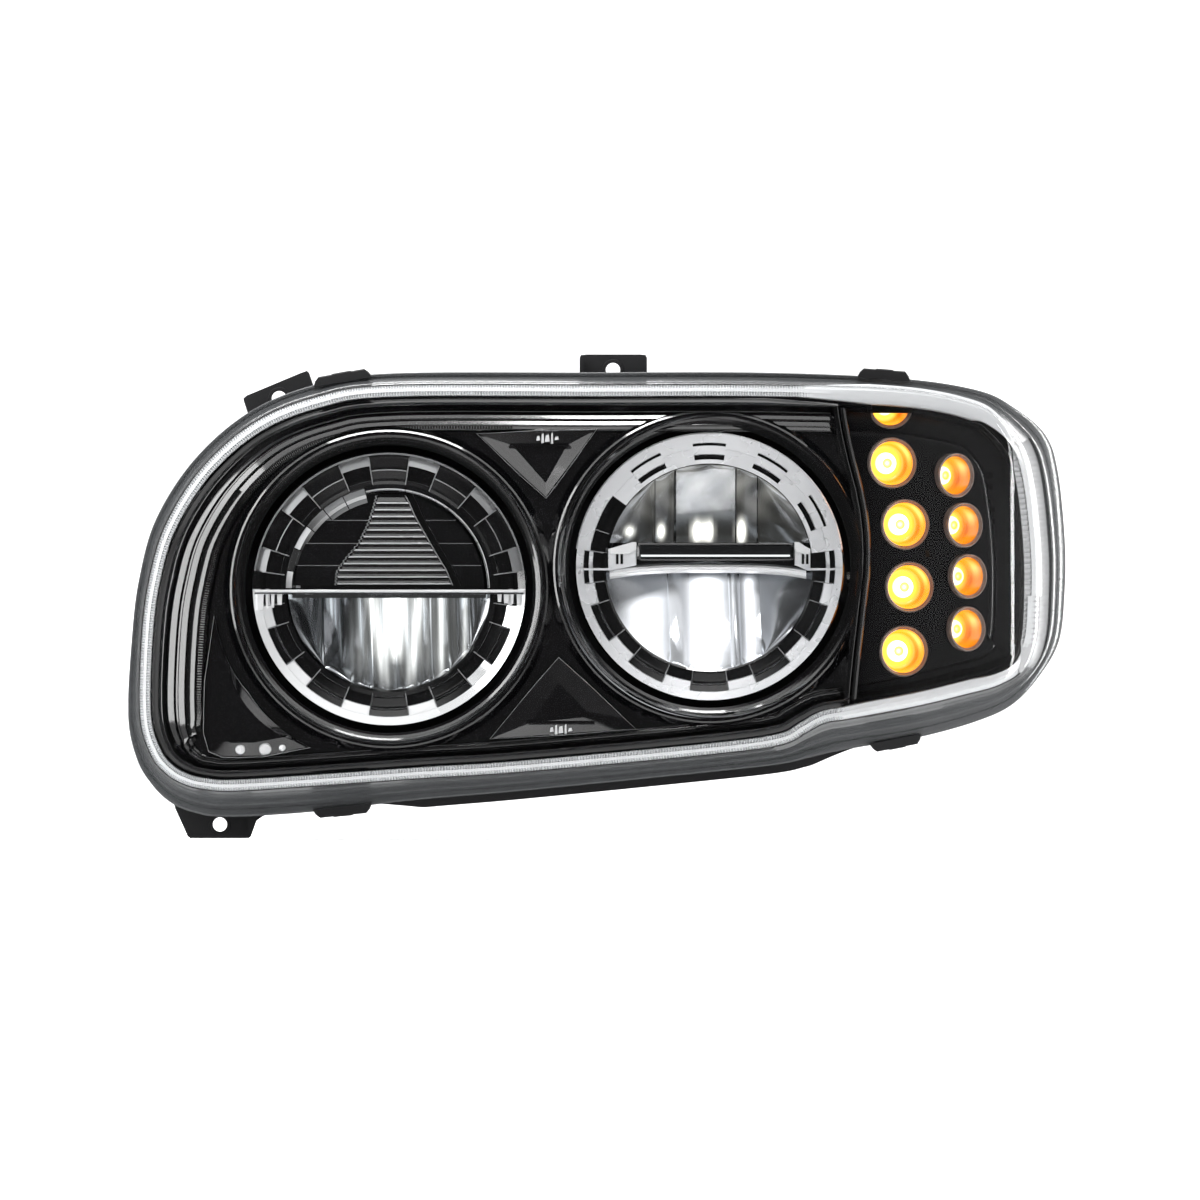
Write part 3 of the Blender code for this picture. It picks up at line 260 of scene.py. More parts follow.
NYLON = finish("nylon", (0.50, 0.49, 0.46), 0.45, grain=0.25, grain_size=800)
BOARD = finish("circuit_board", (0.012, 0.014, 0.014), 0.4, mottle=0.1, grain=0.3,
               grain_size=300)


# ---- Building tools ----
class Shape:
    """Gathers surfaces in millimetres, then becomes one piece. kinds pick its finishes."""

    def __init__(self):
        self.points, self.faces, self.kinds, self.lights, self.total = [], [], [], [], 0

    def add(self, points, faces, kinds=0, light=None):
        points = np.asarray(points, float).reshape(-1, 3)
        self.faces += [tuple(self.total + i for i in f) for f in faces]
        self.kinds += [kinds] * len(faces) if isinstance(kinds, int) else list(kinds)
        self.points.append(points)
        glow = np.asarray((0, 0, 0) if light is None else light, float).reshape(-1, 3)
        self.lights.append(np.broadcast_to(glow, points.shape))
        self.total += len(points)

    def cap(self, points, kinds=0):
        self.add(points, [tuple(range(len(points)))], kinds)

    def strip(self, rows, wrap=True, kinds=0, light=None, ends=False, closed=False, gone=None):
        """Quads between rows of equal length; wrap closes each row, closed joins last to first.

        A quad whose corners are all marked in gone is left out.
        """
        n, m = len(rows), len(rows[0])
        if isinstance(kinds, int):
            kinds = [kinds] * n
        faces, picked = [], []
        for a in range(n if closed else n - 1):
            b = (a + 1) % n
            for i in range(m if wrap else m - 1):
                j = (i + 1) % m
                if gone is not None and gone[a][i] and gone[a][j] and gone[b][i] and gone[b][j]:
                    continue
                faces.append((a * m + i, a * m + j, b * m + j, b * m + i))
                picked.append(kinds[a])
        if ends:
            faces += [tuple(range(a * m, a * m + m)) for a in (0, n - 1)]
            picked += [kinds[0]] * 2
        self.add(np.vstack([np.asarray(row, float) for row in rows]), faces, picked, light)

    def prism(self, outline, y0, y1, kinds=0, light=None):
        self.strip([[(x, y, z) for x, z in outline] for y in (y0, y1)], kinds=kinds, ends=True,
                   light=light)

    def box(self, low, high, kinds=0, light=None):
        (x0, y0, z0), (x1, y1, z1) = low, high
        self.prism([(x0, z0), (x1, z0), (x1, z1), (x0, z1)], y0, y1, kinds, light)

    def lathe(self, profile, centre, steps=96, span=(0, 360), kinds=0, caps=False, closed=False,
              axis=(0, 1, 0)):
        """Turns (radius, position) points about an axis through centre, (x, z) or (x, y, z).

        The span's degrees run clockwise from the top as seen from -Y.
        """
        centre = np.array((centre[0], 0, centre[1]) if len(centre) == 2 else centre, float)
        along = Vector(axis).normalized()
        up = Vector((0, 0, 1)) if abs(along.z) < 0.9 else Vector((0, 1, 0))
        up = (up - along * up.dot(along)).normalized()
        right, along, up = (np.array(v) for v in (along.cross(up), along, up))
        full = span[1] - span[0] == 360
        a = np.radians(np.linspace(*span, steps if full else steps + 1, endpoint=not full))
        spoke = np.outer(np.sin(a), right) + np.outer(np.cos(a), up)
        rows = [centre + along * position + spoke * radius for radius, position in profile]
        self.strip(rows, wrap=full, kinds=kinds, closed=closed)
        if caps:
            for k in (0, len(a) - 1):
                self.cap([row[k] for row in rows], kinds if isinstance(kinds, int) else kinds[0])

    def piece(self, name, finishes, replaces=None, smooth=32, body=LAMP):
        mesh = bpy.data.meshes.new(name)
        mesh.from_pydata((np.vstack(self.points) * MM).tolist(), [], self.faces)
        mesh.validate()
        made = bpy.data.objects.new(name, mesh)
        bpy.context.scene.collection.objects.link(made)
        for one in finishes:
            mesh.materials.append(one)
        if len(mesh.polygons) == len(self.kinds):
            mesh.polygons.foreach_set("material_index", self.kinds)
        lights = np.vstack(self.lights)
        if lights.any() and len(mesh.vertices) == len(lights):
            layer = mesh.color_attributes.new("lit", "FLOAT_COLOR", "POINT")
            layer.data.foreach_set("color", np.hstack([lights, np.ones((len(lights), 1))]).ravel())
        mesh.shade_smooth()
        mesh.set_sharp_from_angle(angle=math.radians(smooth))
        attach(made, body)
        if replaces:
            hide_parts(replaces)


# ---- Lens: clear face, knurled band, skirt and flange, fluted wrap ----
WRAP_Z = (-50, 108)         # heights between which the fluted wrap replaces the skirt


def build_lens():
    edge = SMOOTH.inside(12)
    wall_top, wall_foot = on_face(SMOOTH.inside(0), 4.5), on_rim(SMOOTH.rim(0.5), 0)
    shape = Shape()
    for depth, border in ((0, ((8, 0.1), (5, 0.35), (3, 0.8), (1.6, 1.7), (0.6, 3), (0, 4.5))),
                          (LENS_T, ((9, 3.3),))):
        shape.strip([on_face(edge * share, depth) for share in (*np.linspace(0.02, 0.97, 32), 1)]
                    + [on_face(SMOOTH.inside(inset), back) for inset, back in border])
    shape.piece("lens_face", [CLEAR], "lens", 60)

    x, z = (SMOOTH.rim(0) - SMOOTH.rim(1)).T
    outward = xyz(x, 0, z) / np.hypot(x, z)[:, None]
    rows = [wall_top + (wall_foot - wall_top) * share + outward * proud for share, proud in
            ((0, 0), (0.22, 0), (0.24, 0.5), (0.42, 0.5), (0.44, 0), (0.7, 0), (0.9, 0.2))]
    band = len(rows)
    rows += [on_rim(SMOOTH.rim(share), back) for share, back in
             ((0.5, 0), (0.44, 0.6), (0.3, 0.6), (0.28, 0), (0.08, 0), (0, 0.8), (0, FLANGE_T),
              (0.6, FLANGE_T))]
    wrapped = (SMOOTH.x > 290) & (SMOOTH.z > WRAP_Z[0]) & (SMOOTH.z < WRAP_Z[1])
    skirt = Shape()
    skirt.strip(rows, gone=[wrapped & (k <= band) for k in range(len(rows))])
    skirt.piece("lens_skirt", [SKIRT], "lens", 28)


def build_knurl():
    """The frosted band round the face: fine teeth, dying out to smooth plastic outboard."""
    teeth = Outline(3440, 0)
    x, top = teeth.x, teeth.z > 0
    cuts = np.tile([0, 1, 1, 0], 860) * np.clip((np.where(top, 150, 176) - x) / 12, 0, 1)
    outboard = np.clip((x - 140) / 50, 0, 1)
    start = 0.8 - 2.8 * outboard * top
    wide = 7.6 + outboard * np.where(top, 6.4, 2) * np.clip((292 - x) / 25, 0, 1)
    band = Shape()
    band.strip([on_face(teeth.inside(start + wide * share), depth + cut * cuts)
                for share, depth, cut in
                ((0, 6.4, 0), (0.06, 5.4, 1.5), (0.28, 4.3, 1.5), (0.32, 3.7, 0.1), (0.6, 3.3, 0.1),
                 (0.66, 3.5, 1.4), (0.95, 3.3, 1.4), (1, 4.4, 0), (1.03, 12.5, 0))])
    band.piece("lens_knurled_band", [FROST], "lens", 24)


def build_wrap():
    """Cloudy wrap at the outboard end with horizontal flutes on its inner side."""
    pitch = 3.8
    z = np.arange(-56, 114, pitch / 8)
    s = SMOOTH.samples[SMOOTH.x > 250]
    face_x, rim_x = (np.interp(z, *s[np.argsort(s[:, k + 1])][:, [k + 1, k]].T) for k in (2, 0))
    ends = np.clip(np.minimum(z + 36, 106 - z) / 5, 0, 1)
    flute = np.abs(np.sin(math.pi * z / pitch)) * ends
    reach = 10.5 * np.sqrt(np.clip(np.minimum(z + 54, 112 - z) / 22, 0, 1))
    rows = [behind(face_x - reach * (1 - share), z, LENS_T + 0.3 + 2 * flute)
            for share in np.linspace(0, 1, 12)]
    foot, top = rim_y(rim_x), face_y(face_x, z) + 4.5
    for share in np.linspace(0, 0.5, 10):
        y = top + (foot - top) * share * 2 + 1.6 * flute * (1 - share)
        rows.append(xyz(face_x + (rim_x - face_x) * share, y, z))
    wrap = Shape()
    wrap.strip(rows, wrap=False)
    wrap.piece("lens_fluted_wrap", [WRAP], "lens", 40)


build_lens()
build_knurl()
build_wrap()


# ---- Main bezel ----
SEAM_GAP = 0.35
FLOOR = 22                  # the bezel's floor, behind the lens's face
CREST = 12                  # the collars' crest
BORDER = ((0, 19), (0.25, 16.2), (0.55, 13.2), (0.8, 11.9), (0.92, 11.7), (1, 12.2))
PLEAT_MIDDLE = 18
PLEATS = (                  # run inwards and depth behind the lens's face
    (0.2, 15.8), (0.5, 17.4), (1.2, 17.6), (5.6, 16.5), (5.8, 17.3), (10.4, 16.2), (10.6, 17),
    (15, 15.9), (15.4, 16.6), (15.8, 18.6), (16.6, 18.8), (22, 17.4), (22.4, 17.6), (22.7, 19.6),
    (23.6, 20), (27.2, 20), (27.6, 19.2), (28.2, 19.4), (28.6, 21.4), (30, 22.4),
)
COLLAR = (                  # radius beyond the opening, share of the way forward to the crest
    (0, 0), (1.8, 0.02), (2, 0.26), (3.6, 0.30), (3.8, 0.55), (5.2, 0.60), (5.45, 0.86),
    (6.6, 0.93), (7.4, 1), (8.3, 1), (9, 0.90), (9.3, 0.72), (10.6, 0.66), (12, 0.38), (15, 0),
)
POCKET_RIM = 15.6
POCKET_FLOOR = 21.6


def main_row(loop, back):
    x, z = loop.T
    return behind(np.minimum(x, seam_x(z) - SEAM_GAP), z, back)


def squeeze(outline):
    """How far the pleats spread: fully inboard, least along the bottom."""
    inboard, top, bottom, outboard = outline.sides()
    return inboard + 0.62 * top + 0.30 * bottom + 0.5 * outboard


def terrace(outline, run, back, flatten=False):
    """A loop of the pleats, with their depth flatter where they close up if flatten says so."""
    spread = squeeze(outline)
    if flatten:
        back = PLEAT_MIDDLE + (back - PLEAT_MIDDLE) * (0.35 + 0.65 * spread)
    return main_row(outline.inside(15 + 2 * outline.sides()[0] + run * spread), back)


def lamp_gone(x, z, radius):
    """Marks points inside the lamps' openings and moves them out to the openings' edges."""
    gone = np.zeros(x.shape, bool)
    for cx, cz in (LOW, HIGH):
        far = np.hypot(x - cx, z - cz)
        near = far < radius
        scale = np.where(near, radius / np.maximum(far, 1e-3), 1)
        x, z = cx + (x - cx) * scale, cz + (z - cz) * scale
        gone |= near
    return x, z, gone


def build_main_plate():
    edge = 9.2 + 3 * np.clip((SMOOTH.x - 120) / 60, 0, 1) * (SMOOTH.z > 0)
    inner = 15 + 2 * SMOOTH.sides()[0]
    skirt = main_row(SMOOTH.inside(edge), 0)
    skirt[:, 1] = rim_y(skirt[:, 0]) - 2
    shape = Shape()
    shape.strip([skirt] + [main_row(SMOOTH.inside(edge + (inner - edge) * share), back)
                           for share, back in BORDER]
                + [terrace(SMOOTH, run, back, True) for run, back in PLEATS])
    last = SMOOTH.inside(inner + 30 * squeeze(SMOOTH))
    rows, gone = [main_row(last, 21)], []
    for factor in np.linspace(1, 0.05, 60):
        x, z = ((-20, 8) + (last - (-20, 8)) * factor).T
        x, z, inside = lamp_gone(np.minimum(x, seam_x(z) - SEAM_GAP), z, 113)
        rows.append(behind(np.minimum(x, seam_x(z) - SEAM_GAP), z, FLOOR))
        gone.append(inside)
    shape.strip(rows, gone=gone[:1] + gone)
    shape.piece("bezel_plate", [GLOSS], "main_bezel", 30)

    ticks = Outline(2580, 0)
    tooth = np.tile([0, 1, 0], 860)
    inboard, top, bottom, _ = ticks.sides()
    upper = np.clip((inboard + 0.8 * top - 0.25) * 3, 0, 1) * (ticks.x < -60)
    lower = np.clip(bottom * 3 - 1.5, 0, 1)
    shape = Shape()
    for where, cuts in (
            (upper, ((23.6, 20.1, 0), (23.9, 19, 1.2), (27, 18.6, 1.2), (27.3, 20, 0))),
            (lower, ((0.9, 18.2, 0), (1.4, 16.4, 1.2), (7.6, 14.6, 1.2), (8.4, 15.4, 0)))):
        shape.strip([terrace(ticks, run, back + cut * tooth * where) for run, back, cut in cuts])
    shape.piece("bezel_ticks", [GLOSS], "main_bezel", 20)


def build_collar(name, centre, hole_r, plane, back_y):
    a = np.radians(np.linspace(0, 360, 240, endpoint=False))
    rows = []
    for k, (out, share) in enumerate(((0, None),) + COLLAR):
        x, z = (c + (hole_r + out) * turn for c, turn in zip(centre, (np.sin(a), np.cos(a))))
        x = np.minimum(x, seam_x(z) - SEAM_GAP - 0.1)
        crest = face_y(x, z) + CREST
        inner = np.maximum(plane, crest + 5)
        if share is None:
            y = back_y
        elif k > 10:
            y = crest + (FLOOR - 0.4 - CREST) * (1 - share)
        else:
            y = inner + (crest - inner) * share
        rows.append(xyz(x, y, z))
    shape = Shape()
    shape.strip(rows)
    shape.piece(name, [GLOSS], "main_bezel", 30)


def pocket(shape, outer, inner, cuts=6):
    """Raised frame of straight sides with facets that run down to a sunken middle."""
    def ring(corners, back, grow=0):
        corners = np.array(corners, float)
        side = np.roll(corners, -1, axis=0) - corners
        steps = np.arange(cuts)[:, None] / cuts
        points = (corners[:, None] + side[:, None] * steps).reshape(-1, 2)
        off = points - corners.mean(axis=0)
        return on_face(points + off / np.hypot(*off.T)[:, None] * grow, back)
    rows = [ring(outer, back, grow) for back, grow in
            ((FLOOR - 0.2, 2.6), (POCKET_RIM + 0.5, 1.9), (POCKET_RIM, 1.5), (POCKET_RIM, 1),
             (POCKET_RIM + 0.7, 0.4), (POCKET_RIM + 3.4, 0))]
    rows.append(ring(inner, POCKET_FLOOR))
    # The frame's crest row takes the painted sheen, a painted highlight line
    shape.strip(rows, kinds=[0, 0, 1, 0, 0, 0])
    shape.cap(rows[-1])


def build_pockets():
    shape = Shape()
    pocket(shape, [(-83.5, 113.6), (-1.8, 116.4), (-36.3, 69.9)],
           [(-59.5, 105.8), (-21.5, 105.8), (-36.3, 79.4)])
    pocket(shape, [(-27.1, -44.2), (25.7, -92.8), (-74.3, -99.6)],
           [(-27.1, -60.5), (-3.9, -84.4), (-46.8, -88.6)])
    # Shelf lips and the small moulded blocks on both shelves; the blocks are in the painted gleam,
    # a painted highlight
    for x0, x1, z0, z1 in ((-61.5, -19.5, 105, 106.4), (-48.5, -2, -88.9, -87.4)):
        back = float(face_y(0.5 * (x0 + x1), z0))
        shape.box((x0, back + 18.6, z0), (x1, back + 22, z1))
    for x, z in ((-36.5, 110.8), (-27, -93.6)):
        back = float(face_y(x, z)) + 16.4
        for dx, width, lift, tall in ((-6.4, 2.6, 1.6, 3.4), (-3, 2, 0.4, 7), (-0.4, 3.4, 0, 5.2),
                                      (3.8, 1.6, 0.9, 8), (6.4, 3, 1.4, 2.6)):
            left, foot = x + dx, z - 0.5 * tall
            shape.prism([(left, foot), (left + width, foot + 0.4),
                         (left + width * 0.8, foot + tall),
                         (left + width * 0.2, foot + tall * 0.9)],
                        back + lift, back + 5.4, 2)
    outer = [(LOW[0] + 124 * math.sin(a), LOW[1] + 124 * math.cos(a))
             for a in np.radians(np.linspace(207, 260.5, 12))]
    outer += [(-270.5, -30), (-274.5, -60), (-275.5, -95), (-272, -108), (-262, -112),
              (-235, -111.5)]
    inner = [(-257 + (x + 262) * 0.62, -93 + (z + 96) * 0.62) for x, z in outer]
    pocket(shape, outer, inner, cuts=2)
    # Round bosses in the painted gleam, painted highlights
    for x, z, wide in ((-250.5, -107.6, 7), (-233, -107.4, 9), (-221, -106.4, 5)):
        shape.lathe([(0, 0), (wide * 0.42, 0.6), (wide * 0.5, 1.8), (wide * 0.52, 4.4)],
                    (x, float(face_y(x, z)) + 17.4, z), 18, kinds=2)
    # Ledges beside the high-beam collar
    for points, wide in ((((118, -82.5), (150, -76), (178, -67.5)), 1.2),
                         (((120, -88), (150, -81.5), (176, -73.5)), 1),
                         (((134, 116.5), (152, 114.8), (169, 113)), 1)):
        x, z = (np.interp(np.linspace(0, 2, 14), (0, 1, 2), part) for part in zip(*points))
        shape.strip([xyz(x, face_y(x, z) + back, z + wide * off) for off, back in
                     ((-1, FLOOR), (-0.6, FLOOR - 2.4), (0.6, FLOOR - 2.4), (1, FLOOR))],
                    wrap=False)
    shape.piece("bezel_pockets", [GLOSS, PAINTED_SHEEN, PAINTED_GLEAM], "main_bezel", 24)


def build_seam():
    """Raised ribs on both sides of the seam."""
    z = np.linspace(-80, 133, 90)
    for side, name, node in ((-1, "bezel_seam_rib", "main_bezel"),
                             (1, "turn_seam_rib", "turn_bezel")):
        shape = Shape()
        shape.strip([behind(seam_x(z) + side * (out + 0.05), z, back) for out, back in
                     ((5, 23), (4.7, 13.2), (4.1, 12.4), (2.6, 12.2), (2.3, 13), (1.6, 13),
                      (1.4, 12.2), (0.7, 12.3), (0.35, 12.9), (0.35, 25))], wrap=False)
        shape.piece(name, [GLOSS], node)


# ---- Turn signal ----
PANEL = 18                  # the turn panel, behind the lens's face
TOP_LIP = 128.7             # the border hides the top cup above this height
CUP_DEPTH = 17
CUPS = (                    # x, z, column and outer radius of each cup
    (206, 134, 0, 16.5), (207, 93.5, 0, 18), (216, 50.5, 0, 18), (219, 6.5, 0, 18),
    (215, -38.5, 0, 18), (252, 85, 1, 16), (258, 50, 1, 16), (261, 14, 1, 16), (260, -23, 1, 16),
)


def turn_row(inset, back):
    arc = SMOOTH.x > seam_x(SMOOTH.z)
    x, z = SMOOTH.inside(inset)[arc].T
    seam = np.linspace(z[-1], z[0], 82)[1:-1]
    x = np.concatenate([np.maximum(x, seam_x(z) + SEAM_GAP), seam_x(seam) + SEAM_GAP])
    return behind(x, np.concatenate([z, seam]), back)


def cup_axis(x, z, column):
    yaw = math.radians(TURN_YAW[column])
    mouth = np.array([x, float(face_y(x, z)) + (17 if z > 120 else 14), z])
    return mouth, np.array([-math.sin(yaw), math.cos(yaw), 0])


def build_turn_bezel():
    _, top, bottom, _ = SMOOTH.sides()
    edge = 9.2 + 3 * top
    lip = edge + 5.5 - 0.9 * top
    trough = 27 - 9 * bottom
    rows = [turn_row(edge, 0)]
    rows[0][:, 1] = rim_y(rows[0][:, 0]) - 2
    for near, far, profile in (
            (edge, lip, ((0, 15.5), (0.1, 13.2), (0.4, 12), (0.75, 12.2), (0.95, 13.4), (1, 15))),
            (lip, trough, ((0.02, 16.5), (0.1, 17.6), (0.35, 19.6), (0.6, 21), (0.8, 22),
                           (1, 22.6))),
            (trough, trough + 1, ((3, 22.6), (3.3, 20.4), (4.4, 19), (6, 18.3), (8, PANEL)))):
        rows += [turn_row(near + (far - near) * share, back) for share, back in profile]
    for row in rows[8:]:
        row[:, 2] = np.minimum(row[:, 2], TOP_LIP + 2)
    x, _, z = rows[-1].T
    rows += [behind(232 + (x - 232) * factor, 30 + (z - 30) * factor, PANEL)
             for factor in np.linspace(0.985, 0.03, 54)]
    gone = []
    for row in rows:
        inside = np.zeros(len(row), bool)
        for x, z, column, radius in CUPS:
            mouth, inward = cup_axis(x, z, column)
            off = row - mouth
            off -= np.outer(off @ inward, inward)
            far = np.linalg.norm(off, axis=1)
            near = far < radius - 0.4
            push = np.where(near, (radius - 0.4) / np.maximum(far, 1e-3) - 1, 0)
            row += off * push[:, None]
            inside |= near
        gone.append(inside)
    shape = Shape()
    shape.strip(rows, gone=gone)
    # Small slots in the trough
    for z in (81, 57, 22, -12):
        x = 279 - 0.0008 * (z - 30) ** 2
        y = float(face_y(x, z)) + 20.6
        for z0 in (z - 6, z + 2.2):
            shape.box((x - 2.4, y, z0), (x + 1.6, y + 2.4, z0 + 3.8))
    shape.piece("turn_panel", [DEEP], "turn_bezel", 30)


def cup_light(points, mouth, inward, radius, column):
    """How the lit cup's inside glows: hot round the LED, deep orange towards the mouth."""
    off = points - mouth
    along = off @ inward
    side = off - np.outer(along, inward)
    t = np.clip(along / CUP_DEPTH, 0, 1)
    angle = np.arctan2(side[:, 2], side[:, 0])
    streak = np.exp(-((angle - 0.65) / 0.5) ** 2 - ((t - 0.45) / 0.22) ** 2)
    outer = np.exp(-((angle + 0.3) / 0.9) ** 2 - ((t - 0.75) / 0.2) ** 2)
    floor = np.clip((0.92 - np.linalg.norm(side, axis=1) / radius) / 0.35, 0, 1) * (t > 0.9)
    light = np.array([(0.70, 0.15, 0)])
    for share, colour in ((t ** 0.8, (0.28, 0.21, 0)), (streak, (0.9, 0.75, 0.25)),
                          (outer, (-0.35, -0.28, 0)), (floor, (0.72, 0.79, 0.12))):
        light = light + np.outer(share, colour)
    light *= (1, 0.78)[column]
    light[along < 0.6] *= 0.12      # the cup's rim
    return np.maximum(light, 0)


def build_cups():
    cups, rims = Shape(), Shape()
    glow = np.array([[2.2, 1.5, 0.15], [2.8, 2.2, 0.7], [3.4, 3.2, 2.4], [3.4, 3.3, 2.9],
                     [3.4, 3.2, 2.6], [2.6, 2.2, 1], [1.6, 1, 0.10], [2.2, 1.7, 0.6],
                     [3, 2.7, 1.8]])
    for number, (x, z, column, radius) in enumerate(CUPS, 1):
        mouth, inward = cup_axis(x, z, column)
        bore = radius - 2.7

        def turned(shape, profile, steps, light=None):
            """Adds a surface turned about the cup's axis and cut off at the lip."""
            part = Shape()
            part.lathe(profile, mouth, steps, axis=inward)
            points = part.points[0]
            light = cup_light(points, mouth, inward, bore, column) if light is None else light
            points[:, 2] = np.minimum(points[:, 2], TOP_LIP)
            shape.add(points, part.faces, 0, light)

        turned(cups, [(bore - less, at) for less, at in
                      ((0, 0.6), (0.2, 3), (0.5, 6), (0.9, 9), (1.4, 12), (2.2, 15), (3.6, 16.6),
                       (6, CUP_DEPTH), (bore * 0.58, CUP_DEPTH), (bore, CUP_DEPTH))], 64)
        turned(rims, [(radius - less, at) for less, at in
                      ((0, 6), (0, -0.6), (0.5, -1.2), (1.1, -1.2), (1.5, -0.4), (1.9, 0), (2.3, 0),
                       (2.7, 0.7))], 64, (0, 0, 0))
        hot = glow * 0.5 + (0.35, 0.22, 0) if column else glow * (0.6 if z > 120 else 1)
        led = Shape()
        turned(led, [(0.5 * bore * share, CUP_DEPTH - up) for share, up in
                     ((1, 0.2), (0.99, 1.6), (0.93, 3), (0.80, 4.4), (0.6, 5.3), (0.44, 5.6),
                      (0.40, 4.9), (0.22, 4.6), (0, 4.5))], 40, np.repeat(hot, 40, axis=0))
        led.piece(f"turn_led_{number}", [AMBER], f"turn_optic_{number}", 60)
    cups.piece("turn_cups", [AMBER], "turn_reflector", 60)
    rims.piece("turn_cup_rims", [RIM], "turn_reflector", 40)


build_main_plate()
build_collar("low_collar", LOW, LOW_RING_R + HOLE_PLAY, -97, -74)
build_collar("high_collar", HIGH, HIGH_RING_R + HOLE_PLAY, -85, -68)
build_pockets()
build_seam()
build_turn_bezel()
build_cups()


# ---- Lamp rings ----
WIDE = ((-8.9, 8.9), (22.2, 40.5), (53.5, 71.8), (108.2, 126.5), (139.5, 157.8), (171.1, 188.9))
NARROW = ((8.9, 22.2), (40.5, 53.5), (71.8, 82.3), (97.7, 108.2), (126.5, 139.5), (157.8, 171.1))
ENDS = ((82.3, 90), (90, 97.7))
EVERY = tuple(range(12))
# Ring sections: steps as (inwards from the rim, back from the front), measured from the bore
# where inwards is negative; then the lit rows and the rows in the painted grey sheen, painted
# highlight lines
BLACK_WIDE = (((2.2, 0.2), (2.5, 4), (3.9, 3.2), (4.3, 6.6), (10.6, 7.6), (12.2, 6.6), (12.6, 4.6),
               (13.2, 4.4), (13.8, 8.8), (18.8, 9.8), (20.2, 9), (20.6, 6.6), (-3, 7.4)),
              (), (2, 8, 9))
BLACK_NARROW = (((2.2, 0.2), (2.5, 4.4), (9.2, 1.8), (9.5, 12), (18.6, 12.8), (19.4, 12.4),
                 (19.8, 7.6), (-3, 8.2)), (), (2, 4, 8))
LOW_WIDE = (((6.6, 2.4), (7, 7.4), (11.4, 8.4), (12.4, 7.6), (12.7, 4.8), (14, 4.8), (14.5, 9.4),
             (19.6, 10.4), (20.4, 9.8), (20.9, 7.6), (-2.4, 8.2)), (2, 3), (6, 11))
LOW_NARROW = (((6.6, 2.4), (6.8, 3.2), (13, 5.4), (13.5, 9.6), (20.4, 10.6), (20.9, 7.6),
               (-2.4, 8.2)), (2, 3, 4, 5), ())
SILVER_WIDE = (((7.2, 1.4), (7.6, 6.4), (8.9, 6.4), (9.3, 1.9), (15.2, 3.2), (15.7, 9), (18.6, 9.4),
                (19, 4), (-2.6, 4.8)), (1, 2, 3, 6, 7, 10, 11, 12), ())
SILVER_PLAIN = (((11, 2.2), (11.3, 2.8), (-2.6, 4.6)), EVERY, ())
SILVER_SIDE = (((10, 2), (10.4, 8.6), (15.6, 9.4), (16, 5.6), (17.4, 5.6), (17.8, 10),
                (-2.6, 10.6)), (1, 2, 3), ())
END_BOX = ((6, 1.8), (6.4, 7.6), (9.4, 8), (9.8, 3.4), (12.4, 3.8), (12.8, 8.4), (19.4, 9.2),
           (19.8, 5.2), (-2.6, 5.6))


def sectors(kinds):
    """Every sector of these kinds on both sides of the ring, as (start, stop)."""
    return [pair for start, stop in kinds for pair in
            ([(start, stop), (-stop, -start)] if start > 0 and stop < 180 else [(start, stop)])]


def build_ring(name, node, centre, front, outer, bright, chrome_top):
    """A segmented trim ring: black above and bright below, or silver above with chrome_top. bright
    is the finish of the lit rows; on the low ring it is the painted gleam, a painted highlight.
    """
    shape = Shape()

    def add(start, stop, section, lit=1):
        steps, lit_rows, sheen_paint_rows = section
        steps = ((0, 1.2), (0.9, 0.2)) + steps
        profile = [((outer if step >= 0 else LAMP_R) - step, front + back) for step, back in steps]
        profile = [(outer, front + 18)] + profile + [(profile[-1][0], front + 18)]
        kinds = [lit if k in lit_rows else 2 if k in sheen_paint_rows else 0 for k in range(len(profile))]
        steps = max(4, int((stop - start) / 1.2))
        shape.lathe(profile, centre, steps, (start, stop), kinds, caps=True)

    for wide, kinds in ((True, WIDE), (False, NARROW)):
        first, side = (100, -50) if wide else (90, -60)
        for start, stop in sectors(kinds):
            if abs(start + stop) >= 180:        # the sector's middle is below the axis
                mirror = 3 if not chrome_top and first < start < first + 50 else 1
                add(start, stop, LOW_WIDE if wide else LOW_NARROW, mirror)
            elif not chrome_top:
                add(start, stop, BLACK_WIDE if wide else BLACK_NARROW)
            elif start < side:
                add(start, stop, SILVER_SIDE)
            elif wide:
                edge = 1.1
                add(start + edge, stop - edge, SILVER_WIDE)
                add(start, start + edge, SILVER_PLAIN)
                add(stop - edge, stop, SILVER_PLAIN)
            else:
                add(start, stop, SILVER_PLAIN)
    for start, stop in sectors(ENDS):
        lit = chrome_top or abs(stop + start) > 180
        add(start, stop, (END_BOX, (2, 3, 6, 7) if lit else (), ()))
    # Radial ribs at the sector ends, in the painted grey sheen as painted highlight lines
    for a in sorted({round(a, 1) for pair in sectors(WIDE + NARROW) for a in pair}):
        if chrome_top and abs(a) < 50:
            continue
        reach, depth = (3.2, 1.9) if abs(a) < 88 or a > 272 else (7.2, 3)
        shape.lathe([(outer - reach, front + depth + 9), (outer - reach, front + depth),
                     (LAMP_R + 4, front + 5.4), (LAMP_R + 4, front + 12)],
                    centre, 1, (a - 0.28, a + 0.28), 2, caps=True)
    shape.piece(name, [GLOSS, bright, PAINTED_SHEEN, CHROME], node, 24, CARRIER)


# ---- Reflectors ----
def bowl_depth(x, z, front, deep, radius):
    return front + deep * (1 - (x * x + z * z) / (radius * radius))


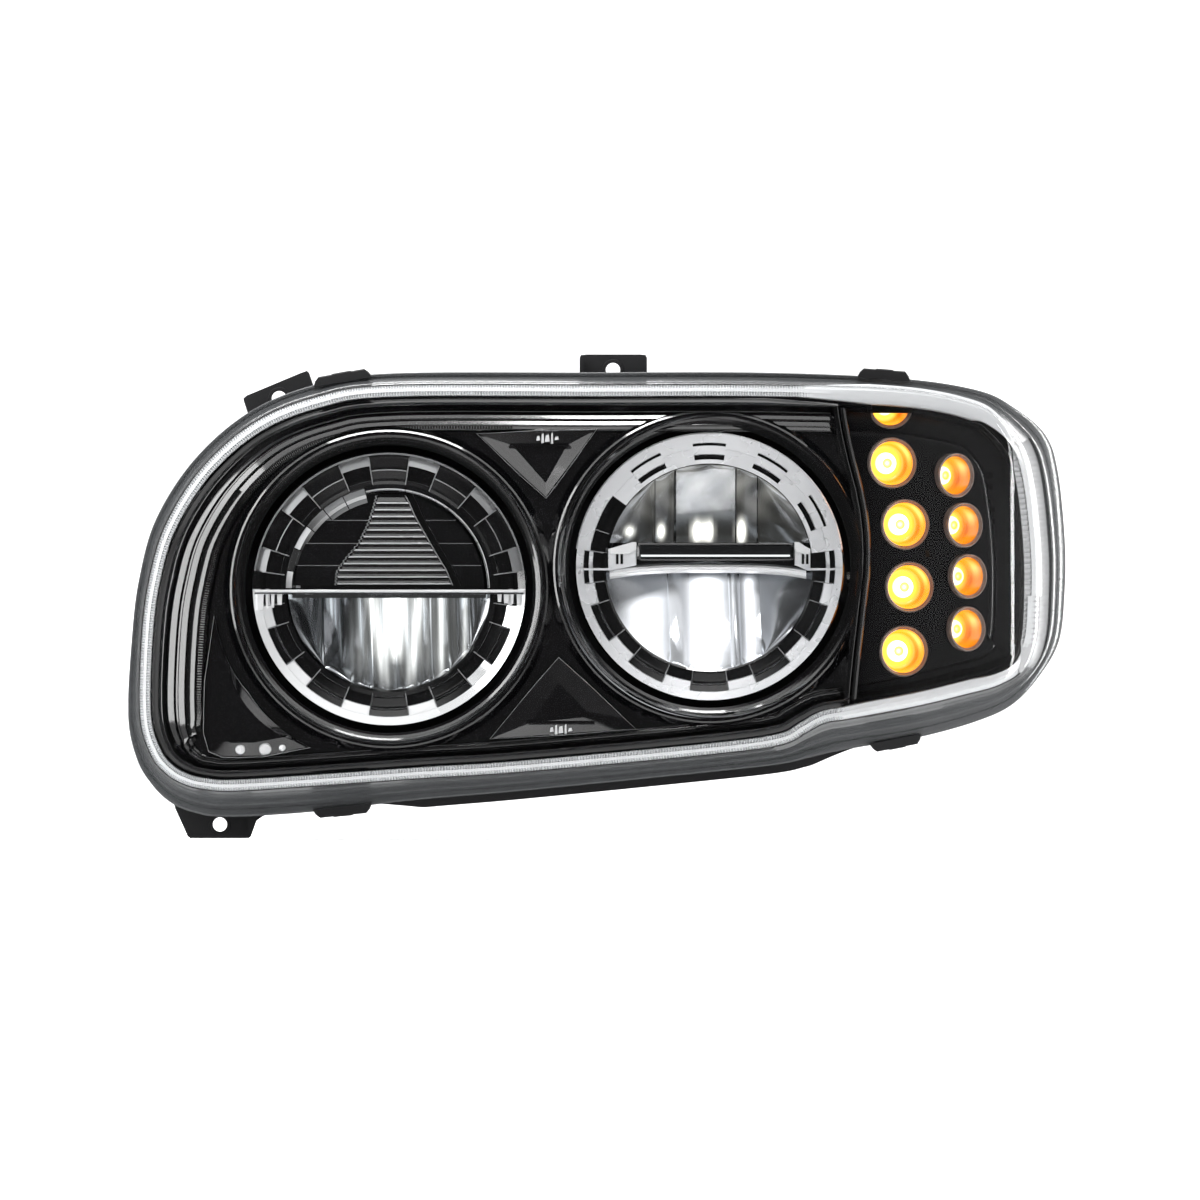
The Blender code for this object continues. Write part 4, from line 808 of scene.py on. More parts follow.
def build_facets(name, node, centre, radius, z_low, z_high, edges, front, deep, bulge, light,
                 slant):
    """Vertical facets of a bowl, cut by a circle; edges are x from the lamp's axis."""
    shape = Shape()
    z = np.linspace(z_low, z_high, 48)
    half = np.sqrt(np.maximum(radius * radius - z * z, 0.01))
    lean = slant * (z_high - z) / (z_high - z_low)
    last = len(edges) - 1
    for k in range(last):
        x0, x1 = (np.clip(edges[i] + lean * (0 < i < last), -half, half) for i in (k, k + 1))
        rows = []
        for s in np.linspace(0, 1, 15):
            x = x0 + (x1 - x0) * s
            y = bowl_depth(x, z, front, deep, radius) + bulge * ((2 * s - 1) ** 2 - (k % 2) * 0.5)
            rows.append(xyz(x, y, z))
        flat = np.vstack(rows)
        shape.strip([row + (centre[0], 0, centre[1]) for row in rows], wrap=False,
                    light=light(flat[:, 0], flat[:, 2]))
    shape.piece(name, [FACETS], node, 50, CARRIER)


def bump_of(x, centre, width):
    return np.exp(-((x - centre) / width) ** 2)


def ramp(value, span, low=0):
    return np.clip(value / span, low, 1)


def low_light(x, z):
    """The lit streaks of the low beam's reflector."""
    spread = 1 - 0.012 * z
    level = (2.2 * bump_of(x, 4, 7.84 / spread) * ramp(z + 54, 18)
             + 1.1 * bump_of(x + 0.16 * (z + 20), -10, 3.6)
             + 1.2 * bump_of(x - 0.1 * (z + 20), 19.5, 3)
             + 0.9 * bump_of(x, 36.5, 2.2) + 0.8 * bump_of(x, 53, 1.2)
             + 0.20 * bump_of(x, 14, 34) + 0.16 * bump_of(x, -24, 9) * ramp(-z, 50))
    level *= ramp(z + 72, 26) * ramp(-3 - z, 4) * (1 + 0.25 * np.sin(x * 1.3 + 0.05 * z))
    return np.outer(level * ramp(x + 34, 16, 0.03), (0.97, 1, 0.98))


def high_low_light(x, z):
    """The lit lower reflector of the high beam, almost white in the middle."""
    left = bump_of(x, -44, 13) * ramp(-5 - z + 0.3 * x, 8)
    level = (2.4 * bump_of(x, -2, 10) + 1.5 * left + 1.5 * bump_of(x + 0.04 * z, 27.5, 3.4)
             + 0.26 * bump_of(x, 0, 40) + 0.4 * bump_of(x, 16.5, 1))
    return np.outer(level * ramp(z + 78, 12) * ramp(-6 - z, 5), (0.96, 0.985, 1.02))


def high_top_light(x, z):
    """Hot LED images in the high beam's upper reflector over a grey that lightens upwards."""
    cloud = 0.5 + 0.5 * np.sin(0.23 * x + 0.9 * np.sin(0.16 * z)) * np.sin(0.19 * z + 0.4)
    level = 0.26 * ramp(z - 30, 28) * cloud + 0.03
    for at, wide, tall, power in ((-56, 2.6, 3.2, 2.2), (-33.8, 2.2, 4.2, 3.2), (-8, 3, 6, 4.2),
                                  (-0.8, 2.6, 6, 4.2), (22.6, 2.4, 6.4, 4.2)):
        level += power * bump_of(x, at, wide) * bump_of(z, 25, tall)
    return np.outer(level, (1, 1, 0.93))


COVER_FRONT = LOW_FRONT + 19
# The ribbed cover's bell-shaped sides: (z, x) from the lamp's axis
BELL = (
    (-1, (2.1, 12, 21.2, 31.9, 44.2, 54.9, 66), (-36.5, -35.8, -29.6, -20.5, -14.4, -10.5, -7.5)),
    (1, (2.9, 13.6, 27.4, 41.1, 51.8, 61, 66.5), (43.7, 39.1, 30.7, 23, 17, 13.1, 10)),
)
PANEL_STEPS = (2.4, 16.2, 31.7, 47.9, 67)


def build_low_cover():
    cx, cz = LOW
    # Rows of kind 1 take the painted sheen, painted highlight lines on the ribs' edges
    cover = Shape()
    for z0 in 3 + 4.72 * np.arange(13):
        rows = []
        for dz, out in ((0, 0), (0.2, -3.6), (1.3, -2.9), (1.7, -1), (4.6, 0)):
            left, right = (np.interp(z0 + dz, zs, xs) for _, zs, xs in BELL)
            rows.append(xyz(np.linspace(left, right, 3) + cx, COVER_FRONT - 5 + out, z0 + dz + cz))
        cover.strip(rows, wrap=False, kinds=[0, 1, 0, 0])
    for side, zs, xs in BELL:
        # Border of the ribs, toothed on the left
        z = np.arange(2.5, 66, 0.59)
        tooth = np.resize([0, 0.9, 0.9, 0], len(z)) * (side < 0)
        x = np.interp(z, zs, xs) + cx
        cover.strip([xyz(x + side * (off + tooth * (off > 0.2)), COVER_FRONT + out, z + cz)
                     for off, out in ((0.1, -4.6), (0.3, -8.4), (1.2, -8.4), (1.5, -2))],
                    wrap=False, kinds=[0, 1, 0])
        # Stepped side panels
        for k, (low, high) in enumerate(zip(PANEL_STEPS, PANEL_STEPS[1:])):
            z = np.linspace(low, high, 12)
            edge = np.interp(z, zs, xs)
            near = edge + (-1.7 if side < 0 else 6.4)
            far = side * np.maximum(side * near, np.sqrt(66.5 ** 2 - z ** 2 * 0.985))
            y = COVER_FRONT - 8 + 2 * k
            cover.strip([xyz(x + cx, y, z + cz) for x in (near, far)], wrap=False)
            if k < 3:
                ends = np.array([near[-1], far[-1]]) + cx
                cover.strip([xyz(ends, y + dy, high + dz + cz)
                             for dy, dz in ((0, 0), (0.7, 0.55), (2, 0.6))],
                            wrap=False, kinds=[1, 0])
            if side > 0:
                cover.strip([xyz(edge + 4.6 + dx + cx, y + dy, z + cz)
                             for dx, dy in ((0, 1.5), (0, 0), (1.5, 0), (1.8, 0.9))],
                            wrap=False, kinds=[0, 0, 1])
    cover.lathe([(67, COVER_FRONT + 4), (0, COVER_FRONT + 4)], LOW, 48, (-91, 91))
    cover.piece("low_ribbed_cover", [GLOSS, PAINTED_SHEEN], "low_upper_block", 20, CARRIER)


def build_low_beam():
    cx, cz = LOW
    build_facets("low_facets", "low_reflector", LOW, 71, -71, -3.6,
                 (-71, -46.5, -26.6, -12.8, 3.4, 17.7, 28, 40.5, 55, 71), LOW_FRONT + 13, 34, 2.2,
                 low_light, 2)
    build_low_cover()

    # Stepped crescent on the inboard side that thins out to a line outboard; its bright faces are
    # the painted gleam, a painted highlight, beside gloss black, chrome and painted-sheen faces
    funnel = Shape()
    stepped = ((3.6, 7.2), (2.6, 7.4), (2.3, 9), (-1.6, 10), (-1.9, 12.6), (-4.4, 13.4),
               (-4.7, 15.8), (-7.6, 16.4))
    plain = ((3.6, 7.2), (0.6, 7.6), (0, 8.4), (-0.9, 9), (-1.6, 15))
    for start, stop, lit in (
            (-89.4, -80, 0), (-79.4, -67, 2), (-66.4, -53, 0), (-52.4, -40, 2), (-39.4, -27, 3),
            (-26.4, -14, 3), (-13.4, 9, None), (9.6, 36, None), (36.6, 62, None),
            (62.6, 89.4, None)):
        funnel.lathe([(LAMP_R + out, LOW_FRONT + back) for out, back in
                      (plain if lit is None else stepped)], LOW, 14, (start, stop),
                     [1, 0, 2, 1, 0] if lit is None else [1, 1, lit, 1, 2, 1, lit, 1])
    funnel.piece("low_funnel", [PAINTED_GLEAM, GLOSS, CHROME, PAINTED_SHEEN], None, 25, CARRIER)

    # The bar takes the painted gleam, a painted white highlight, except its lower rows and the two
    # strips behind it, which are chrome
    bar = Shape()
    z = cz - 2.1
    front = LOW_FRONT - 3.4
    reach = LOW_RING_R - 2.2
    bar.strip([xyz((cx - reach, cx + reach), front + back, z + dz) for dz, back in
               ((-1.7, 3), (-1.7, 0.6), (-1.3, 0.1), (-0.35, 0), (-0.1, 0.7), (0.2, 0.7), (0.45, 0),
                (1.3, 0.2), (1.7, 0.7), (1.7, 3))], wrap=False, kinds=[1] * 4 + [0] * 6)
    bar.box((cx - 69, LOW_FRONT - 0.6, z - 1.5), (cx + 69, -64, z + 1.2), 1)
    bar.box((cx - 68, LOW_FRONT + 2, z - 4.2), (cx + 68, LOW_FRONT + 12, z - 1.5), 1)
    for x0, x1, tall in ((-92.5, -88, 12.5), (-86.6, -84.6, 10), (-82.8, -80.4, 11),
                         (-78.6, -75, 9), (76, 79, 7), (80.4, 84, 8), (85.2, 87.4, 8.4),
                         (89.5, 92, 9.5)):
        bar.prism([(cx + x0, z - 1.6), (cx + x1, z - 1.6), (cx + x1 - 0.3, z - tall),
                   (cx + x0 + 0.3, z - tall)], LOW_FRONT - 1.2, LOW_FRONT + 2)
    bar.piece("low_bar", [PAINTED_GLEAM, CHROME], "low_divider", 30, CARRIER)


def rounded(x0, x1, z0, z1, radius):
    """Round-cornered rectangle about the high beam's axis."""
    return [(HIGH[0] + x + radius * math.cos(a), HIGH[1] + z + radius * math.sin(a))
            for x, z, turn in ((x1 - radius, z1 - radius, 0), (x0 + radius, z1 - radius, 90),
                               (x0 + radius, z0 + radius, 180), (x1 - radius, z0 + radius, 270))
            for a in np.radians(turn + 15 * np.arange(7))]


def build_high_beam():
    cx, cz = HIGH
    build_facets("high_upper_facets", "high_upper_reflector", HIGH, 72, 17, 72,
                 (-72, -38.1, -24, 18.7, 33.8, 72), HIGH_FRONT + 12, 30, 1.6, high_top_light, 0)
    seams = Shape()
    for x, wide in ((-38.1, 0.7), (-24, 1.6), (18.7, 1.2), (33.8, 0.9)):
        z = np.linspace(17, math.sqrt(72 ** 2 - x * x), 16)
        y = bowl_depth(x, z, HIGH_FRONT + 12, 30, 72)
        seams.strip([xyz(cx + x + wide * side, y + dy, z + cz) for side, dy in
                     ((-0.5, 2), (-0.4, -0.6), (0.4, -0.6), (0.5, 2))], wrap=False)
    seams.piece("high_facet_seams", [GLOSS], None, 25, CARRIER)
    build_facets("high_lower_facets", "high_lower_reflector", HIGH, 73, -73, -4,
                 (-73, -29, -14.4, 13, 20, 35, 73), HIGH_FRONT + 12, 32, 2, high_low_light, 2.5)

    # The lip takes the painted gleam, a painted highlight
    lip = Shape()
    x = np.linspace(-70, 68, 60)
    rise = 4.6 * np.clip(1 - np.abs(x / 70) ** 3.2, 0, 1) - 3.4
    lip.strip([xyz(x + cx, HIGH_FRONT + 2 + back, dz + rise + cz) for dz, back in
               ((-5.4, 9), (-4.6, 6), (-3.6, 4.6), (-2.7, 5.2), (-2.5, 3.6), (-1.2, 2.9),
                (-0.9, 3.8), (0.2, 4.6), (1, 9), (1.4, 26))], wrap=False)
    lip.piece("high_reflector_lip", [PAINTED_GLEAM], None, 28, CARRIER)

    bar = Shape()
    front = HIGH_FRONT + 1.5
    bar.strip([[(x, front + back, z) for x, z in
                rounded(-51 + grow, 59.6 - grow, 4.2 + grow, 17.1 - grow, max(0.6, 3.6 - grow))]
               for grow, back in ((0, 12), (0, 1.4), (0.5, 0.3), (1.4, 0), (2.2, 0.6), (2.4, 4.2))])
    bar.cap([(x, front + 4.2, z) for x, z in rounded(-48.6, 57.2, 6.6, 14.7, 1.2)], 1)
    bar.box((cx - 48, front + 2.2, cz + 7.2), (cx + 56.6, front + 4.2, cz + 8.5), 2,
            (1.1, 1.15, 1.15))
    bar.box((cx - 48, front + 3.4, cz + 9.4), (cx + 56.6, front + 4.2, cz + 10.2), 1)
    bar.piece("high_bar", [GLOSS, SMOKE, FACETS], "high_light_bar", 30, CARRIER)

    ends = Shape()
    for side, near, windows in ((-1, 51.2, (0.52, 0.68)), (1, 59.8, (0.53, 0.8))):
        a, b = side * near, side * 71
        outline = np.array([(a, 15.6), (a, 1.2), (a + side * 2, 0.6), (b - side * 2, -2.6),
                            (b, -2.6), (b, 12.6), (a + side * 5, 15.6)]) + HIGH
        mid = outline + (np.array([cx + 0.5 * (a + b), cz + 6]) - outline) * 0.08
        rows = [xyz(ring[:, 0], HIGH_FRONT + back, ring[:, 1])
                for ring, back in ((outline, 12), (outline, 3.4), (mid, 2.4))]
        ends.strip(rows)
        ends.cap(rows[2])
        # The step takes the painted gleam, a painted highlight
        step = [(a, 17.4), (a + side * 3, 17.4), (b - side, 12.8), (b - side, 9), (a + side * 6, 9),
                (a, 12)]
        ends.prism([(cx + x, cz + z) for x, z in step], HIGH_FRONT + 1.2, HIGH_FRONT + 3.4, 2)
        for share in windows:
            x = cx + a + (b - a) * share
            ends.box((x - 0.9, HIGH_FRONT + 1.9, cz + 2), (x + 0.9, HIGH_FRONT + 3, cz + 11), 1)
        x0, x1 = sorted((cx + side * 68, cx + side * (HIGH_RING_R - 1)))
        ends.box((x0, HIGH_FRONT - 0.9, cz - 2.4), (x1, HIGH_FRONT + 3, cz - 0.9))
    ends.piece("high_bar_brackets", [SILVER, GLOSS, PAINTED_GLEAM], None, 30, CARRIER)


def build_wells():
    """Dark wells behind the reflectors, so nothing shows between their facets."""
    for name, centre, front in (("low_well", LOW, LOW_FRONT), ("high_well", HIGH, HIGH_FRONT)):
        shape = Shape()
        shape.lathe([(LAMP_R + 4, front + 9), (LAMP_R + 3.6, front + 16), (LAMP_R + 1, front + 18),
                     (64, -57.5), (63, -42), (0, -38)], centre)
        shape.piece(name, [GLOSS], None, 40, CARRIER)


build_ring("low_trim", "low_ring", LOW, LOW_FRONT, LOW_RING_R, PAINTED_GLEAM, False)
build_ring("high_trim", "high_ring", HIGH, HIGH_FRONT, HIGH_RING_R, SILVER, True)
build_low_beam()
build_high_beam()
build_wells()


# ---- CAD pieces that are shown as they are ----
LOOK_OF_SLOT = {
    "clear_lens": FROST, "gloss_black": GLOSS, "matte_black": MATTE, "bright_plating": CHROME,
    "amber_optic": AMBER, "circuit_board": BOARD, "cast_alloy": ALLOY, "plated_steel": STEEL,
    "seal_rubber": RUBBER, "nylon": NYLON,
}
DARK_NYLON = {"aim_carrier", "pivot_tower_left", "pivot_tower_right", "aim_socket"}


def dress_cad():
    for name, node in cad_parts.items():
        for slot in node.material_slots:
            key = next((k for k in LOOK_OF_SLOT if slot.material.name.startswith(k)), None)
            slot.material = MATTE if name in DARK_NYLON else LOOK_OF_SLOT.get(key, MATTE)


dress_cad()


# ---- Housing, tabs and clips ----
BUCKET = ((0, 0.45, 0.9, 1), (1, 0.965, 0.93, 0.9), (1, 0.93, 0.86, 0.82))  # depth, x and z shares
TABS = (                    # outline (x, z), hole centre, hole radius
    (((-12.6, 132), (34.8, 132), (34.8, 168.6), (33.4, 170), (-11.2, 170), (-12.6, 168.6)),
     (10.9, 159), 5),
    (((-238, 105), (-249, 138.6), (-248, 140.4), (-204.4, 158.6), (-202.8, 157.8), (-190, 120)),
     (-223.6, 139), 5.2),
    (((-290, -120), (-243, -120), (-242.7, -168), (-244.8, -170), (-286.6, -170), (-288, -168.6),
      (-298, -146)), (-265.2, -160.3), 4.9),
)
TAB_BACK = 26               # the tabs' rear, behind the rim
TAB_T = 6
SCREW = (-34, -80)          # adjuster axis (x, z)
GEARBOX_BACK = 119
INLET = (-34, 70)
VENT = (225, 55)
CLIPS = ((-179, 152.2), (201.5, 154.6), (-179, -149.3), (210, -102.1))
BACK_RIBS = (               # x, z of both ends
    (-245, -98, -190, -70), (-245, 96, -190, 70), (20, -84, 190, -70), (20, 100, 230, 104),
    (170, -40, 170, 95), (262, -25, 262, 90), (-75, 100, -5, 104), (20, 80, 160, 80),
    (20, -45, 160, -45), (-262, -60, -262, 60),
)


def housing_drop(x, z):
    """The housing's edge shows below the lens along the middle of the bottom."""
    return np.where(z > -80, 0, -6 * np.minimum(ramp(x + 152, 30), ramp(180 - x, 30)))


def bucket_row(share, inset=0.0):
    """The bucket's wall at a share of the way from the rim to the back wall."""
    sx, sz = (np.interp(share, BUCKET[0], part) for part in BUCKET[1:])
    x, z = SMOOTH.rim(0.9).T
    near = rim_y(x) + HOUSING_FRONT + 8
    keep = 1 - inset / np.hypot(x, z)
    return xyz(x * sx * keep, near + (BACK_Y - near) * share, z * sz * keep)


def plate_with_hole(shape, outline, hole, radius, front, back, boss):
    """A flat tab round a hole, with a raised collar round the hole."""
    a = np.radians(np.linspace(0, 360, 72, endpoint=False))
    spokes = np.stack([np.sin(a), np.cos(a)], axis=1)
    centre = np.array(hole)
    corners = np.array(outline, float)
    reach = []
    for dx, dz in spokes:
        best = math.inf
        for (x0, z0), (ex, ez) in zip(corners - centre, np.roll(corners, -1, axis=0) - corners):
            cross = dx * ez - dz * ex
            if abs(cross) > 1e-9:
                t, s = (x0 * ez - z0 * ex) / cross, (x0 * dz - z0 * dx) / cross
                if t > 0 and -1e-6 <= s <= 1 + 1e-6:
                    best = min(best, t)
        reach.append(best)
    edge = np.array(reach)[:, None]
    rows = []
    for size, y in ((radius, back), (edge, back), (edge, front + 0.8), (edge * 0.975, front),
                    (radius + 2.6, front), (radius + 2.2, front - boss),
                    (radius + 0.4, front - boss), (radius, front + 0.4), (radius, back)):
        x, z = (centre + spokes * size).T
        rows.append(xyz(x, y, z))
    shape.strip(rows)


def build_housing():
    shape = Shape()
    lip = SMOOTH.rim(0)
    lip[:, 1] += housing_drop(*lip.T)
    size = np.hypot(*lip.T)[:, None]
    inner = on_rim(SMOOTH.rim(1), HOUSING_FRONT + 1)
    back = bucket_row(1, 3)
    shape.strip([inner] + [on_rim(SMOOTH.rim(share), HOUSING_FRONT) for share in (0.62, 0.06)]
                + [on_rim(lip * (1 + grow / size), HOUSING_FRONT + depth)
                   for grow, depth in ((-0.4, 0), (0, 0.5), (0, 4.4), (-0.5, 5))]
                + [bucket_row(share) for share in (0, 0.12, 0.3, 0.45, 0.6, 0.75, 0.9, 0.96)]
                + [bucket_row(0.99, 0.6), back])
    for factors in ((1, 0.8), (0.8, 0.55), (0.55, 0.3), (0.3, 0)):
        shape.strip([xyz(back[:, 0] * f, BACK_Y, back[:, 2] * f) for f in factors])
    # Inside wall, seen past the bezel's edge
    shape.strip([inner, bucket_row(0.3, 8), bucket_row(0.9, 8)])
    # Stiffening ribs down the sides and across the back wall
    loop = SMOOTH.rim(0.9)
    shares = np.linspace(0.1, 0.97, 9)
    swell = [3 * math.sin(math.pi * min(1, (1.02 - s) * 2) * 0.5) for s in shares]
    lines = np.array([bucket_row(s) for s in shares])
    crests = np.array([bucket_row(s, -grow) for s, grow in zip(shares, swell)])
    for k in range(0, 600, 30):
        line, proud = lines[:, k], crests[:, k]
        x, z = loop[k + 1] - loop[k]
        along = np.array([x, 0, z]) / math.hypot(x, z)
        inside = 2 * line - proud
        shape.strip([inside - along * 1.3, proud - along * 0.9, proud + along * 0.9,
                     inside + along * 1.3], wrap=False)
    for x0, z0, x1, z1 in BACK_RIBS:
        length = math.hypot(x1 - x0, z1 - z0)
        x, z = np.array([x0, x1]), np.array([z0, z1])
        shape.strip([xyz(x - (z1 - z0) / length * off, BACK_Y + up, z + (x1 - x0) / length * off)
                     for off, up in ((1.6, -0.5), (1.1, 2.6), (0.8, 3), (-0.8, 3), (-1.1, 2.6),
                                     (-1.6, -0.5))], wrap=False)
        for end in ((x0, z0), (x1, z1)):
            shape.lathe([(3.6, BACK_Y - 0.5), (3.2, BACK_Y + 3.4), (2.2, BACK_Y + 3.8),
                         (0, BACK_Y + 3.8)], end, 20)
    for outline, hole, radius in TABS:
        rear = float(rim_y(hole[0])) + TAB_BACK
        plate_with_hole(shape, outline, hole, radius, rear - TAB_T + 0.8, rear, 0.8)
    # Gussets from the tabs to the bucket
    for x in (-11, 33.2):
        front = float(rim_y(x)) + TAB_BACK - TAB_T
        shape.prism([(x - 1.3, 136), (x + 1.3, 136), (x + 1.3, 166), (x - 1.3, 166)], front - 3.2,
                    front + 1)
    rear = float(rim_y(-265)) + TAB_BACK
    shape.prism([(-243, -148), (-239, -156.5), (-243, -167.6), (-245.6, -167.6), (-245.6, -148)],
                rear - TAB_T - 4, rear)
    shape.prism([(-245, -146), (-231, -152), (-243, -160), (-245, -160)], rear - 5, rear)
    shape.piece("housing_shell", [MATTE], "housing", 30)


def build_clips():
    """C-shaped clips with bevelled ends that pinch the flange to the housing."""
    s = SMOOTH.samples
    for number, (x, z) in enumerate(CLIPS, 1):
        k = int(np.argmin(np.hypot(s[:, 0] - x, s[:, 1] - z)))
        a, b = s[k - 14], s[(k + 14) % len(s)]
        along = np.array([b[0] - a[0], float(rim_y(b[0]) - rim_y(a[0])), b[1] - a[1]])
        along /= np.linalg.norm(along)
        out = np.array([-along[2], 0, along[0]]) / math.hypot(along[0], along[2])
        if out[2] * z < 0:
            out = -out
        front, back = float(rim_y(x)) - 3.4, float(rim_y(x)) + HOUSING_FRONT + 8.4
        drop = float(-housing_drop(x, z)) if z < 0 else 0
        low, high, grip = 2 + drop, 5.2 + drop, -1.8
        section = [(grip, front), (high - 0.8, front), (high, front + 0.8), (high, back + 1.7),
                   (high - 0.8, back + 2.5), (grip + drop, back + 2.5), (grip + drop, back),
                   (low, back), (low, front + 2.6), (grip, front + 2.6)]
        rows = []
        for end in (-21, -20.2, -7, -6.4, 6.4, 7, 20.2, 21):
            bevel = 0.9 if abs(end) == 21 else 0.864 if abs(end) > 20 else 0
            shift = 0 if abs(end) < 6.6 else -0.5
            row = []
            for u, y in section:
                reach = math.copysign(abs(end) - bevel * max(0, u), end)
                row.append(np.array([x, y, z]) + along * reach
                           + out * (u + shift if u > low + 0.5 else u))
            rows.append(row)
        clip = Shape()
        clip.strip(rows, ends=True)
        clip.piece(f"flange_clip_{number}", [MATTE], f"lens_clip_{number}", 25)


# ---- Rear pieces ----
def around(shape, profile, centre, angles, half, closed=False):
    """The same short turned rib at each angle."""
    for a in angles:
        shape.lathe(profile, centre, 3, (a - half, a + half), caps=True, closed=closed)


def small_screw(shape, x, y, z, radius):
    """Steel pan head with a hollow middle, standing on a face that looks rearwards."""
    shape.lathe([(radius, y), (radius, y + 0.8), (radius * 0.8, y + 1.4), (radius * 0.45, y + 1.5),
                 (radius * 0.4, y + 0.6), (0, y + 0.6)], (x, z), 20, kinds=1)


def build_service_cover():
    x, z = LOW
    cover = Shape()
    cover.lathe([(67.9, 87.2), (67.9, 89.6), (67.3, 90.2), (59, 90.2), (58.4, 91.2), (55.4, 91.2),
                 (54.8, 90.4), (54, 91), (52.6, 96), (51.4, 97.4), (47, 99.6), (45.6, 100),
                 (40, 100), (39.4, 98.9), (36, 98.9), (35.4, 100), (16, 100), (15.4, 98.9),
                 (0, 98.9)], LOW, 120)
    cover.lathe([(67.9, 87.2), (50, 87.2), (48, 94), (0, 97)], LOW, 60)
    around(cover, [(52.9, 90.4), (55.6, 90.4), (54.6, 97.2), (51.6, 98.2)], LOW,
           range(0, 360, 20), 2, closed=True)
    around(cover, [(17, 99.4), (17, 101.4), (34, 101.4), (34, 99.4)], LOW, range(0, 360, 60), 3)
    for a in np.radians(range(30, 390, 60)):
        cover.lathe([(0, 101.6), (2, 101.6), (2.4, 101), (2.4, 98)],
                    (x + 10 * math.sin(a), z + 10 * math.cos(a)), 14)
    cover.piece("service_cover", [MATTE], "rear_cover", 28)


def build_screws():
    """Pan heads with a six-lobed recess."""
    a = TAU * np.arange(36) / 36
    recess = 1.9 + 0.35 * np.cos(6 * a)
    for name in (f"{kind}_screw_{k}" for kind in ("rear_cover", "driver") for k in range(1, 5)):
        low, high = (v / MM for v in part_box(name))
        x, _, z = 0.5 * (low + high)
        top = high.y
        screw = Shape()
        rows = [xyz(x + r * np.cos(a), y, z + r * np.sin(a)) for r, y in
                ((4.4, top - 3.2), (4.5, top - 1.2), (4.1, top - 0.4), (3.2, top), (recess, top),
                 (recess, top - 1.6))]
        screw.strip(rows)
        screw.cap(rows[-1])
        screw.lathe([(4.4, top - 3.2), (1.8, top - 3.2), (1.8, low.y), (0, low.y)], (x, z), 24)
        screw.piece(name + "_torx", [STEEL], name, 35)


def build_vent():
    vent = Shape()
    vent.lathe([(4.5, 80), (4.5, 85.3), (8, 85.3), (8, 87), (12, 89), (12, 93.4), (11.6, 94.4),
                (9.4, 96.6), (8.6, 97), (6.2, 97), (6, 96.2), (4, 96.2), (3.8, 97), (0, 97)],
               VENT, 64)
    around(vent, [(11.6, 89.4), (12.7, 89.6), (12.7, 93), (11.6, 93.6)], VENT, range(0, 360, 30), 4)
    vent.piece("breather_cap", [MATTE], "breather_vent", 30)


def chamfered(x, y, z, half_x, half_z, corner):
    """Rectangle about (x, z) with its corners cut, at depth y."""
    return [(x + sx * (half_x - cut_x), y, z + sz * (half_z - cut_z)) for sx, sz, cut_x, cut_z in
            ((1, 1, corner, 0), (1, 1, 0, corner), (1, -1, 0, corner), (1, -1, corner, 0),
             (-1, -1, corner, 0), (-1, -1, 0, corner), (-1, 1, 0, corner), (-1, 1, corner, 0))]


def build_gearbox_detail():
    """Cover plate, screws, shaft collar and ribs on the adjuster's gearbox."""
    x, z = SCREW
    back = GEARBOX_BACK
    detail = Shape()
    rows = [chamfered(x, back + up, z + 0.5, 18.5 - shrink, 20 - shrink, 4)
            for shrink, up in ((0, -0.2), (0, 1.2), (0.7, 1.8))]
    detail.strip(rows)
    detail.cap(rows[-1])
    detail.lathe([(11, back + 1.7), (10.4, back + 4.2), (9.4, back + 4.8), (7.4, back + 4.8),
                  (6.8, back + 4), (0, back + 4)], SCREW, 48)
    around(detail, [(10.4, back + 1.6), (14.4, back + 1.6), (10.8, back + 4.2)], SCREW,
           range(0, 360, 45), 3.5, closed=True)
    for side in (-1, 1):
        for level in (-1, 1):
            small_screw(detail, x + 14.6 * side, back + 1.8, z + 0.5 + 16 * level, 2.4)
        edge, tip = x + 19.8 * side, x + 21 * side
        for mid in z + np.arange(-15, 16, 7.5):
            detail.prism([(edge, mid - 0.9), (tip, mid - 0.6), (tip, mid + 0.6), (edge, mid + 0.9)],
                         BACK_Y + 6, back - 4)
    detail.lathe([(7.6, z + 21.9), (7.6, z + 23.4), (6.6, z + 24.4), (4.2, z + 24.4),
                  (3.9, z + 22)], (x, 106, 0), 40, axis=(0, 0, 1))
    detail.piece("gearbox_cover", [MATTE, STEEL], None, 30)


def build_inlet_detail():
    """Mouth frame, latch and ribs on the connector's shroud."""
    x, z = INLET
    detail = Shape()
    detail.strip([chamfered(x, y, z, 10.9 + half, 2.9 + half, 1.6) for half, y in
                  ((9, 114.4), (10.3, 114.8), (10.3, 117.6), (9.9, 118.2), (7, 118.2),
                   (6.6, 117.6))])
    for side in (-1, 1):
        foot, tip = z + 11.9 * side, z + 12.9 * side
        for mid in (x - 12, x - 6, x + 6, x + 12):
            detail.prism([(mid - 0.8, foot), (mid + 0.8, foot), (mid + 0.6, tip), (mid - 0.6, tip)],
                         91, 114)
        left, right = x + 3 * side - 0.7, x + 3 * side + 0.7
        detail.strip([[(left, y, z + 12), (right, y, z + 12), (right, y, z + top),
                       (left, y, z + top)] for y, top in
                      ((101, 12.2), (108, 15.2), (109, 15.2), (109.6, 12.2))], ends=True)
        for level in (-1, 1):
            small_screw(detail, x + 23 * side, 90.2, z + 13.6 * level, 2.1)
    detail.box((x - 3, 106.6, z + 14), (x + 3, 109, z + 15.2))
    detail.piece("inlet_frame", [MATTE, STEEL], None, 30)


build_housing()
build_clips()
build_service_cover()
build_screws()
build_vent()
build_gearbox_detail()
build_inlet_detail()


